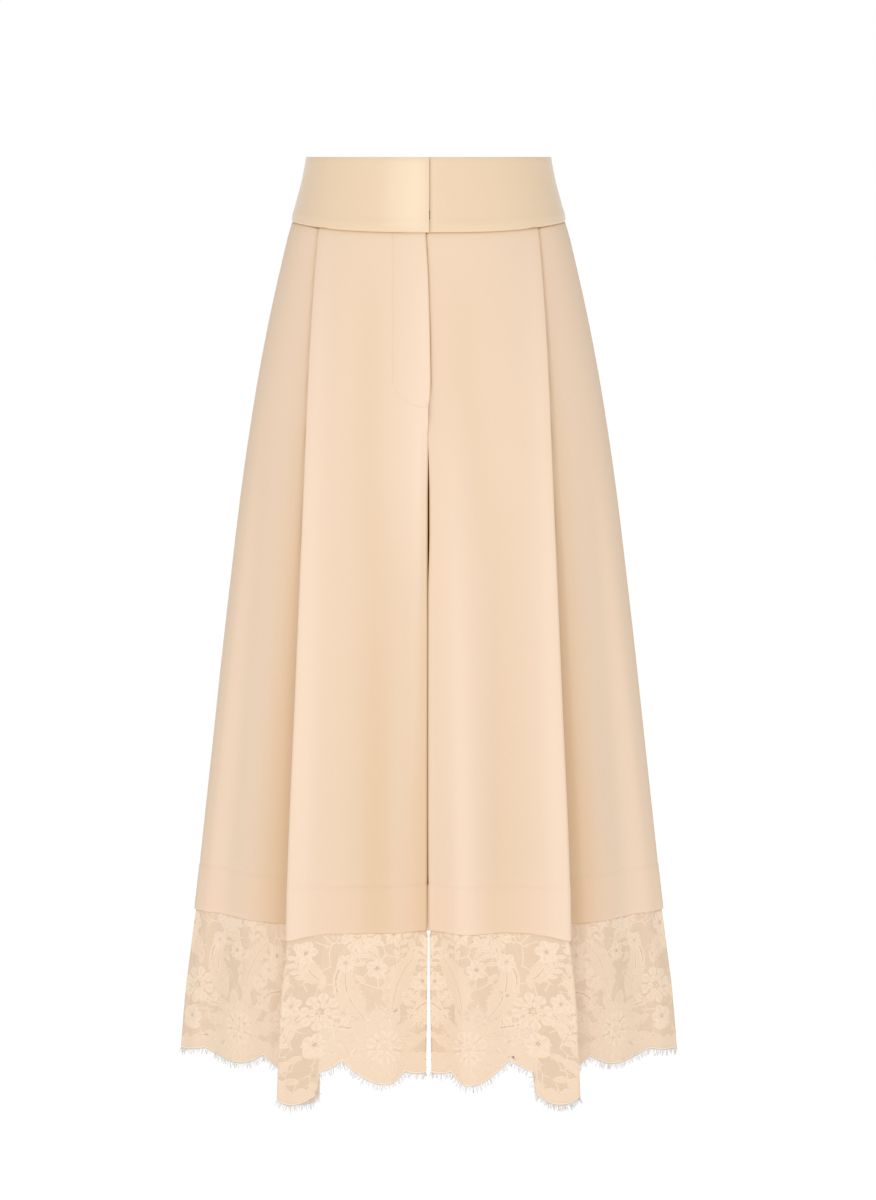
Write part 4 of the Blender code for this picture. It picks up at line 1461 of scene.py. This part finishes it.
def backTurns(length):
    count = round(length / backRepeat)
    turns = [Turn(length * (i + row.share) / count, row.depth) for i in range(count) for row in backEdge]
    return [Turn(0.0, frontEdge[-1].depth), *turns[:-1], Turn(length, frontEdge[0].depth)]


def edgeLevel(surface, turns, along):
    return edgeDepth(turns, along) - np.interp(along, surface.along, surface.sag)


# Flat pieces of lacework: points (x, up, height, tone) and faces, drawn round their own foot and growing
# upwards. A rail's inset is from the left edge, or from the right one if it is negative.
Patch = namedtuple("Patch", "points faces")
Rail = namedtuple("Rail", "inset most height tone")
# A rail's tone above 0 paints a highlight on raised rims and cords; below 0 it darkens towards the painted
# shade of the slits, the undersides only a little.
padRails = (
    Rail(0.01, 0.01, 0.0, 0.8),
    Rail(0.4, 0.2, 1.0, 1.0),
    Rail(1.0, 0.42, 0.64, 0.0),
    Rail(-1.0, 0.42, 0.64, 0.0),
    Rail(-0.4, 0.2, 1.0, 1.0),
    Rail(-0.01, 0.01, 0.0, 0.8),
    Rail(-0.7, 0.25, -0.85, -0.3),
    Rail(0.7, 0.25, -0.85, -0.3),
)
cordRails = (
    Rail(0.01, 0.01, 0.0, 1.0),
    Rail(0.3, 0.3, 1.0, 1.0),
    Rail(-0.3, 0.3, 1.0, 1.0),
    Rail(-0.01, 0.01, 0.0, 1.0),
    Rail(-0.3, 0.3, -0.9, 1.0),
    Rail(0.3, 0.3, -0.9, 1.0),
)
# low dark strips of painted shade, standing in the lace's open slits and eyelets
slitShadeRails = tuple(rail._replace(height=rail.height * 0.55, tone=-1.0) for rail in cordRails)
middle = 9.0  # an inset too large to reach, so the rail runs halfway across
smallRails = (
    Rail(0.01, 0.01, 0.0, 0.7),
    Rail(0.35, 0.22, 1.0, 0.8),
    Rail(middle, 0.5, 0.85, -0.1),
    Rail(-0.35, 0.22, 1.0, 0.8),
    Rail(-0.01, 0.01, 0.0, 0.7),
    Rail(-middle, 0.5, -0.9, -0.3),
)


def strip(left, right, rails=padRails, rise=lace["rise"]):
    # a raised strip between two edges, its section given by the rails that run along it
    left, right = np.asarray(left, float), np.asarray(right, float)
    width = np.maximum(np.linalg.norm(right - left, axis=1), 1e-6)[:, None]
    columns = []
    for rail in rails:
        share = np.minimum(abs(rail.inset) / width, rail.most)
        spot = mix(left, right, share if rail.inset > 0 else 1 - share)
        level = np.full(len(spot), rail.height * rise), np.full(len(spot), rail.tone)
        columns.append(np.column_stack([spot, *level]))
    points = np.stack(columns, axis=1)
    count, across = points.shape[:2]
    number = np.arange(count * across).reshape(count, across)
    faces = []
    for a, b in zip(number.tolist(), number[1:].tolist()):
        faces += [(a[k], b[k], b[k + 1], a[k + 1]) for k in range(across - 1)]
        faces.append((a[-1], b[-1], b[0], a[0]))
    faces += [tuple(number[0].tolist()), tuple(number[-1, ::-1].tolist())]
    return Patch(points.reshape(-1, 4), faces)


def sideways(path):
    run = np.gradient(path, axis=0)
    run /= np.linalg.norm(run, axis=1)[:, None]
    return np.column_stack([run[:, 1], -run[:, 0]])


def cord(path, width=0.8, rise=lace["rise"]):
    path = np.asarray(path, float)
    offset = sideways(path) * width / 2
    return [strip(path - offset, path + offset, cordRails, rise)]


def turned(patches, x=0.0, y=0.0, angle=0.0, lift=0.0):
    c, s = math.cos(math.radians(angle)), math.sin(math.radians(angle))
    moved = []
    for patch in patches:
        flat = patch.points[:, :2] @ np.array(((c, s), (-s, c))) + (x, y)
        height = patch.points[:, 2]
        height = np.where(height > 0, height + lift, height - lift / 2)
        moved.append(Patch(np.column_stack([flat, height, patch.points[:, 3]]), patch.faces))
    return moved


def bowed(length, bend, count):
    # a bent rib growing upwards: its places and its unit vectors to the side
    t = np.linspace(0, 1, count)
    rib = np.column_stack([bend * length * np.sin(np.pi * t), length * t])
    return t, rib, sideways(rib)


def spotOnPath(t, path, place):
    return np.array([np.interp(place, t, path[:, 0]), np.interp(place, t, path[:, 1])])


longPetal = 14.0  # shorter ones are simpler in section


def petal(length, width, tip=1.25):
    t = (1 - np.cos(np.pi * np.linspace(0.02, 0.985, 8 if length > longPetal else 7))) / 2
    half = width / 2 * np.sin(np.pi * t**tip) ** 0.7
    half = np.maximum(half, 0.12 * width * (t < 0.2))
    rails = padRails if length > longPetal else smallRails
    return [strip(np.column_stack([-half, length * t]), np.column_stack([half, length * t]), rails)]


def lobed(length, width):
    # two lobes side by side and a vein between them
    lobe = petal(length, width * 0.66)
    vein = cord([(0, length * 0.2), (0, length * 0.72)], 0.7)
    return turned(lobe, angle=13) + turned(lobe, angle=-13, lift=0.06) + vein


def wheel(count, start, shape, twist=0.0, lift=0.0):
    foot = turned(shape, y=start)
    made = []
    for i in range(count):
        made += turned(foot, angle=360 * i / count + twist, lift=lift + 0.05 * (i % 2))
    return made


def ring(radius, rails, width, lift=0.0):
    circle = np.linspace(0, 2 * math.pi, 17)
    turns = np.column_stack([np.cos(circle), np.sin(circle)])
    return turned([strip(turns * (radius - width / 2), turns * (radius + width / 2), rails)], lift=lift)


def openRing(radius, width, rungs, lift=0.0):
    # a round slit of painted shade with rungs across it
    rung = cord([(0, radius - width * 0.7), (0, radius + width * 0.7)], 0.7)
    return ring(radius, slitShadeRails, width, lift) + wheel(rungs, 0.0, rung, 0.0, lift + 0.08)


def rose(radius):
    made = wheel(11, radius * 0.74, petal(radius * 0.62, radius * 0.44, 0.9), 9)
    made += wheel(9, radius * 0.40, lobed(radius * 0.60, radius * 0.60), 0, 0.06)
    made += wheel(7, radius * 0.24, petal(radius * 0.40, radius * 0.40), 22, 0.12)
    made += wheel(6, radius * 0.06, petal(radius * 0.25, radius * 0.25), 5, 0.18)
    return made + ring(radius * 0.06, cordRails, 1.0, 0.22)


def daisy(radius):
    petals = wheel(5, radius * 0.14, petal(radius * 0.88, radius * 0.86))
    # its eye is a ring of painted shade
    return petals + ring(radius * 0.12, slitShadeRails, 1.0, 0.24)


def opened(radius):
    made = wheel(8, radius * 0.44, petal(radius * 0.58, radius * 0.54), 10)
    made += wheel(6, radius * 0.16, petal(radius * 0.40, radius * 0.42), 30, 0.12)
    return made + openRing(radius * 0.15, 1.1, 7, 0.2)


def leaf(length, teeth=7, spread=0.25, bend=0.12):
    # two ragged halves beside an open vein of painted shade, with side veins running to the teeth
    t, rib, side = bowed(length, bend, teeth * 4 + 1)
    swell = length * spread * np.sin(np.pi * np.clip(t, 0.02, 0.98) ** 0.8) ** 0.8
    tooth = 1 - 0.34 * ((teeth * t) % 1.0) * (t < 0.97)
    slit = 0.6 * np.sin(np.pi * np.clip(t, 0.03, 0.97)) ** 0.4
    made = [strip(rib - side * slit[:, None], rib + side * slit[:, None], slitShadeRails)]
    for way in (-1, 1):
        inner = rib + side * (way * slit)[:, None]
        outer = rib + side * (way * (slit + 0.3 + swell * tooth))[:, None]
        outer += (0, 0.04 * length) * (1 - t)[:, None]
        made.append(strip(outer, inner) if way < 0 else strip(inner, outer))
        for number in range(1, teeth - 1):
            place = (number + 0.08) / teeth
            start, end = spotOnPath(t, inner, place - 0.06), spotOnPath(t, outer, place)
            made += cord([start, mix(start, end, 0.5) + (0, 0.6), mix(start, end, 0.93)], 0.6)
    for place in np.arange(0.07, 0.94, 2.2 / length):
        spot, across = spotOnPath(t, rib, place), spotOnPath(t, side, place) * 0.95
        made += turned(cord([spot - across, spot + across], 0.8), lift=0.06)
    return made


def sprig(length):
    return petal(length, length * 0.42, 1.0) + cord([(0, length * 0.1), (0, length * 0.8)], 0.6)


def bud(length):
    made = turned(petal(length * 0.72, length * 0.46), y=length * 0.3)
    for angle in (-38, 38):
        made += turned(petal(length * 0.55, length * 0.2), angle=angle)
    return made


def ribbon(length, width=6.4, bend=0.14):
    # a band with a row of square holes down its middle, drawn as a strip of painted shade with rungs across
    # it
    t, rib, side = bowed(length, bend, max(6, int(length / 3)))
    made = [strip(rib - side * 0.8, rib + side * 0.8, slitShadeRails)]
    made.append(strip(rib - side * width / 2, rib - side * 0.8))
    made.append(strip(rib + side * 0.8, rib + side * width / 2))
    for place in np.arange(0.04, 0.98, 2.3 / length):
        spot, across = spotOnPath(t, rib, place), spotOnPath(t, side, place) * 1.1
        made += turned(cord([spot - across, spot + across], 0.85), lift=0.06)
    return made


def stem(length, bend=0.2):
    return cord(bowed(length, bend, 9)[1], 1.0)


def spray(length, pairs=4, bend=0.16):
    # a bent stem with leaflets on both sides and a bud at the tip
    t, rib, _ = bowed(length, bend, 11)
    made = cord(rib, 1.1)
    for number in range(pairs * 2):
        place = 0.12 + 0.74 * number / (pairs * 2 - 1)
        lean = 52 if number % 2 else -52
        foot = spotOnPath(t, rib, place)
        made += turned(petal(length * 0.30, length * 0.13, 1.0), *foot, lean - 14 * bend, 0.03)
    return made + turned(petal(length * 0.26, length * 0.18), *rib[-2], 18 * bend)


def curl(size):
    t = np.linspace(0, 1, 15)
    turn = t * 4.4
    reach = size * (0.12 + 0.5 * (1 - t))
    path = np.column_stack([reach * np.sin(turn), size * 0.62 - reach * np.cos(turn)])
    return cord(path, 1.0) + turned(petal(size * 0.3, size * 0.26), path[-1][0], path[-1][1], 200)


kinds = {"rose": rose, "daisy": daisy, "opened": opened, "leaf": leaf, "sprig": sprig, "bud": bud,
         "ribbon": ribbon, "stem": stem, "spray": spray, "curl": curl}
Motif = namedtuple("Motif", "kind x up angle size")  # a lean to the left is a positive angle
cell = (
    Motif("spray", -44, 60, -14, 44),
    Motif("spray", 34, 116, 34, 42),
    Motif("spray", -14, 128, 20, 40),
    Motif("spray", 74, 112, -20, 40),
    Motif("spray", 52, 34, -64, 26),
    Motif("ribbon", 30, 60, -62, 44),
    Motif("ribbon", -26, 66, 58, 36),
    Motif("ribbon", 46, 96, 8, 34),
    Motif("leaf", -6, 74, 26, 70),
    Motif("leaf", 20, 70, -20, 58),
    Motif("leaf", 60, 108, -32, 40),
    Motif("leaf", 8, 132, -34, 38),
    Motif("leaf", 92, 56, 34, 34),
    Motif("rose", 0, 40, 8, 31),
    Motif("opened", 62, 78, 0, 20),
    Motif("opened", 30, 156, 16, 17),
    Motif("daisy", 10, 122, 12, 11),
    Motif("daisy", 40, 128, 30, 10),
    Motif("daisy", -40, 106, 0, 11),
    Motif("daisy", 66, 44, 18, 13),
    Motif("daisy", -6, 158, 0, 11),
    Motif("daisy", 80, 142, 20, 12),
    Motif("daisy", -24, 92, 50, 8),
    Motif("bud", 68, 158, -14, 24),
    Motif("bud", 46, 58, 40, 17),
    Motif("bud", -30, 132, -6, 20),
    Motif("sprig", 84, 84, -70, 17),
    Motif("sprig", 80, 72, -110, 15),
    Motif("sprig", 42, 92, 66, 16),
    Motif("sprig", 44, 72, 100, 15),
    Motif("sprig", 62, 100, 8, 17),
    Motif("sprig", -34, 30, 108, 18),
    Motif("sprig", -36, 48, 82, 18),
    Motif("sprig", 36, 30, -108, 17),
    Motif("sprig", 36, 44, -76, 16),
    Motif("sprig", 66, 30, 60, 14),
    Motif("sprig", 66, 30, -60, 14),
    Motif("sprig", 20, 108, -54, 15),
    Motif("curl", -50, 140, 20, 17),
    Motif("curl", 90, 104, -30, 16),
    Motif("curl", 52, 148, -20, 14),
)


def drawnLace(surface, turns, anchors):
    # every repeat of the motifs, stretched to the next one, cut back to the edge and kept off the seams
    start, end = surface.along[0] + lace["seamClear"], surface.along[-1] - lace["seamClear"]
    patches = []
    for number, (low, depth) in enumerate(anchors):
        before = low - anchors[number - 1][0] if number else lace["cell"]
        after = anchors[number + 1][0] - low if number + 1 < len(anchors) else lace["cell"]
        foot = depth - float(np.interp(low, surface.along, surface.sag))
        for motif in cell:
            shapes = turned(kinds[motif.kind](motif.size), motif.x, motif.up, motif.angle)
            for patch in shapes:
                x, up, *rest = patch.points.T
                along = low + x * np.where(x > 0, after, before) / lace["cell"]
                patches.append(Patch(np.column_stack([along, foot - up, *rest]), patch.faces))
    run = np.arange(start, end, lace["edgeStep"])
    edge = edgeLevel(surface, turns, run)
    wave = lace["garland"] + lace["garlandWave"] * np.abs(np.sin(np.pi * (run - start) / lace["garlandStep"]))
    cordTop = lace["edgeCord"] - lace["edgeCordLaps"]
    kept = []
    for top, bottom, rails in ((wave, lace["edgeCord"], padRails), (cordTop, lace["edgeCordEnd"], cordRails)):
        kept.append(strip(np.column_stack([run, edge - top]), np.column_stack([run, edge - bottom]), rails))
    for patch in patches:
        along, level, *rest = patch.points.T
        floor = edgeLevel(surface, turns, np.clip(along, start, end)) - lace["edgeClear"]
        inside = (along > start) & (along < end) & (level < floor) & (level > surface.levels[1])
        if inside.mean() < (1.0 if min(rest[1]) < lace["holeShadeTone"] else lace["leastInside"]):
            continue
        held = np.clip(along, start, end), np.clip(level, surface.levels[1], floor)
        kept.append(Patch(np.column_stack([*held, *rest]), patch.faces))
    return kept


def joined(patches):
    points = np.vstack([patch.points for patch in patches])
    faces, first = [], 0
    for patch in patches:
        faces += [tuple(first + k for k in face) for face in patch.faces]
        first += len(patch.points)
    return points, faces


def cutAtFolds(points, faces, surface):
    # flat work that crosses a fold of the pleat gets an edge at each of the fold's columns
    work = bmesh.new()
    tone = work.verts.layers.float.new("tone")
    spots = [work.verts.new(point[:3]) for point in points]
    for spot, point in zip(spots, points):
        spot[tone] = point[3]
    for face in faces:
        work.faces.new([spots[k] for k in face])
    bend = np.abs(np.diff(surface.out[lace["bendRow"]], axis=0)).sum(axis=1)
    for place in np.flatnonzero(bend > lace["sharpBend"]):
        everything = work.verts[:] + work.edges[:] + work.faces[:]
        bmesh.ops.bisect_plane(work, geom=everything, dist=1e-4, plane_co=(surface.along[place], 0, 0),
                               plane_no=(1, 0, 0))
    work.verts.index_update()
    points = np.array([(*vert.co, vert[tone]) for vert in work.verts])
    faces = [tuple(vert.index for vert in face.verts) for face in work.faces]
    work.free()
    return points, faces


def makeLace(part, name, side, surface, turns, anchors):
    grid = np.linspace(0, 1, lace["rows"])[:, None]
    last = edgeLevel(surface, turns, surface.along)[None, :]
    level = mix(surface.levels[0], last, grid)
    along = np.broadcast_to(surface.along, level.shape)
    places = onSurface(surface, along, level, np.zeros(level.shape))
    uv = np.stack([along, level], axis=-1)
    tone = np.broadcast_to(surface.tone, level.shape)
    ground = clothPiece(f"lace_{part}_{name}_net", places, side, uv, lace["wall"], net, tone)
    points, faces = cutAtFolds(*joined(drawnLace(surface, turns, anchors)), surface)
    laid = onSurface(surface, points[:, 0], points[:, 1], points[:, 2]) * (side, 1, 1)
    if side < 0:
        faces = [face[::-1] for face in faces]
    motifs = meshFrom(f"lace_{part}_{name}_motifs", laid, faces, points[:, :2])
    tone = points[:, 3] + lace["motifToneShare"] * np.interp(points[:, 0], surface.along, surface.tone)
    motifs.data.attributes.new("tone", "FLOAT", "POINT").data.foreach_set("value", tone)
    motifs.data.shade_flat()
    motifs.data.materials.append(lacework)
    for obj in (ground, motifs):
        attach(obj, "root")
    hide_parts(f"lace_{part}_{name}")
    print(part, name, "motif triangles", sum(len(face) - 2 for face in faces))


# the lows of the edge that a repeat of the motifs stands over
frontAnchors = ((-84.0, 944.0), (46.0, 944.0), (190.0, 963.0), (312.0, 941.0))
surfaces = {}
for side, name in ((1, "Left"), (-1, "Right")):
    front = laceSurface(frontLine, creases[f"front{name}"], frontStations)
    back = laceSurface(backLine, creases[f"back{name}"], backStations)
    turns = backTurns(back.along[-1])
    anchors = [(turn.along, turn.depth) for turn in turns if turn.depth == backEdge[1].depth]
    surfaces["front", name], surfaces["back", name] = (front, frontEdge), (back, turns)
    makeLace("front", name.lower(), side, front, frontEdge, frontAnchors)
    makeLace("back", name.lower(), side, back, turns, anchors)
print("lace made")

lash = {
    "step": 1.1,
    "length": 5.8,
    "shortest": 0.45,  # of that length
    "longest": 1.3,
    "width": 0.04,
    "middle": (0.0, 0.12, 0.5),  # a hair of length 1 is bent through this place
    "end": (0.05, 0.02, 1.0),
    "thinning": 0.7,
    "cord": 0.32,
    "below": 0.3,  # the cord hangs this far below the net
    "seamClear": 0.5,
    "lean": 0.42,
    "off": 0.75,  # how far a hair turns square to a sloping edge
}


def swept(tree, path, section):
    ends = {"Curve": path, "Profile Curve": section, "Fill Caps": True}
    return nodeOf(tree, "GeometryNodeCurveToMesh", {}, ends)


def lashTree():
    # tapered hairs, a little bent and uneven, fall from a cord along the edge
    tree, given = groupTree("lashes", {"Step": "Float", "Length": "Float", "Cord": "Float", "Lean": "Float",
                                       "Seed": "Int", "Finish": "Material"})
    even = evenPath(tree, given)
    hair = nodeOf(tree, "GeometryNodeCurveQuadraticBezier", {},
                  {"Resolution": 3, "Start": (0, 0, 0), "Middle": lash["middle"], "End": lash["end"]})
    down = nodeOf(tree, "GeometryNodeSplineParameter", {}, {})
    size = 1.0 - down * lash["thinning"]
    thin = nodeOf(tree, "GeometryNodeSetCurveRadius", {}, {"Curve": hair, "Radius": size})
    section = nodeOf(tree, "GeometryNodeCurvePrimitiveCircle", {}, {"Resolution": 3, "Radius": 1.0})
    slim = nodeOf(tree, "GeometryNodeTransform", {}, {"Geometry": section, "Scale": (lash["width"],) * 3})
    hairMesh = swept(tree, thin, slim)
    stray = nodeOf(tree, "FunctionNodeRandomValue", {"data_type": "FLOAT_VECTOR"},
                   {"Min": (-1, -1, -1), "Max": (1, 1, 1), "Seed": given["Seed"]})
    fall = nodeOf(tree, "GeometryNodeInputNamedAttribute", {"data_type": "FLOAT_VECTOR"}, {"Name": "fall"})
    leaning = nodeOf(tree, "ShaderNodeVectorMath", {"operation": "SCALE"}, {0: stray, "Scale": given["Lean"]})
    aim = nodeOf(tree, "ShaderNodeVectorMath", {"operation": "ADD"}, {0: fall, 1: leaning})
    turn = nodeOf(tree, "FunctionNodeAlignRotationToVector", {"axis": "Z"}, {"Vector": aim})
    longer = nodeOf(tree, "FunctionNodeRandomValue", {"data_type": "FLOAT"},
                    {2: lash["shortest"], 3: lash["longest"], "Seed": given["Seed"]}, 1)
    size = given["Length"] * longer
    placed = nodeOf(tree, "GeometryNodeInstanceOnPoints", {}, {"Points": even, "Instance": hairMesh,
                                                              "Rotation": turn, "Scale": size})
    ring = nodeOf(tree, "GeometryNodeCurvePrimitiveCircle", {}, {"Resolution": 4, "Radius": given["Cord"]})
    rim = swept(tree, even, ring)
    both = tree.nodes.new("GeometryNodeJoinGeometry")
    for piece in (rim, placed):
        tree.links.new(piece.socket, both.inputs[0])
    finishTree(tree, Wire(tree, both.outputs[0]), given["Finish"])
    return tree


lashes = lashTree()


def makeLashes(part, name, side, surface, turns, seed):
    run = np.arange(surface.along[0] + lash["seamClear"], surface.along[-1] - lash["seamClear"], 1.0)
    edge = edgeLevel(surface, turns, run) + lash["below"]
    places = onSurface(surface, run, edge, np.zeros(run.shape)) * (side * mm, mm, -mm)
    heading = np.gradient(places, axis=0)
    heading /= np.linalg.norm(heading, axis=1)[:, None]
    fall = np.array((0, 0, -1.0)) + heading * (heading[:, 2] * lash["off"])[:, None]
    obj = edgesObject(f"lashes_{part}_{name}_fringe", places, chain(len(places)))
    obj.data.attributes.new("fall", "FLOAT_VECTOR", "POINT").data.foreach_set("vector", fall.ravel())
    values = {"Step": lash["step"] * mm, "Length": lash["length"] * mm, "Cord": lash["cord"] * mm,
              "Lean": lash["lean"], "Seed": seed, "Finish": fringe}
    grow(obj, lashes, values)
    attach(obj, "root")
    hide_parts(f"lashes_{part}_{name}")


for seed, ((part, name), (surface, turns)) in enumerate(surfaces.items()):
    makeLashes(part, name.lower(), 1 if name == "Left" else -1, surface, turns, seed)
print("fringe made")

for node, finish in (("waist_bar", steel), ("fly_zip", tape)):
    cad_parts[node].data.materials.clear()
    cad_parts[node].data.materials.append(finish)

{"cad": cadBox, "visual": [list(corner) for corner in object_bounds()]}
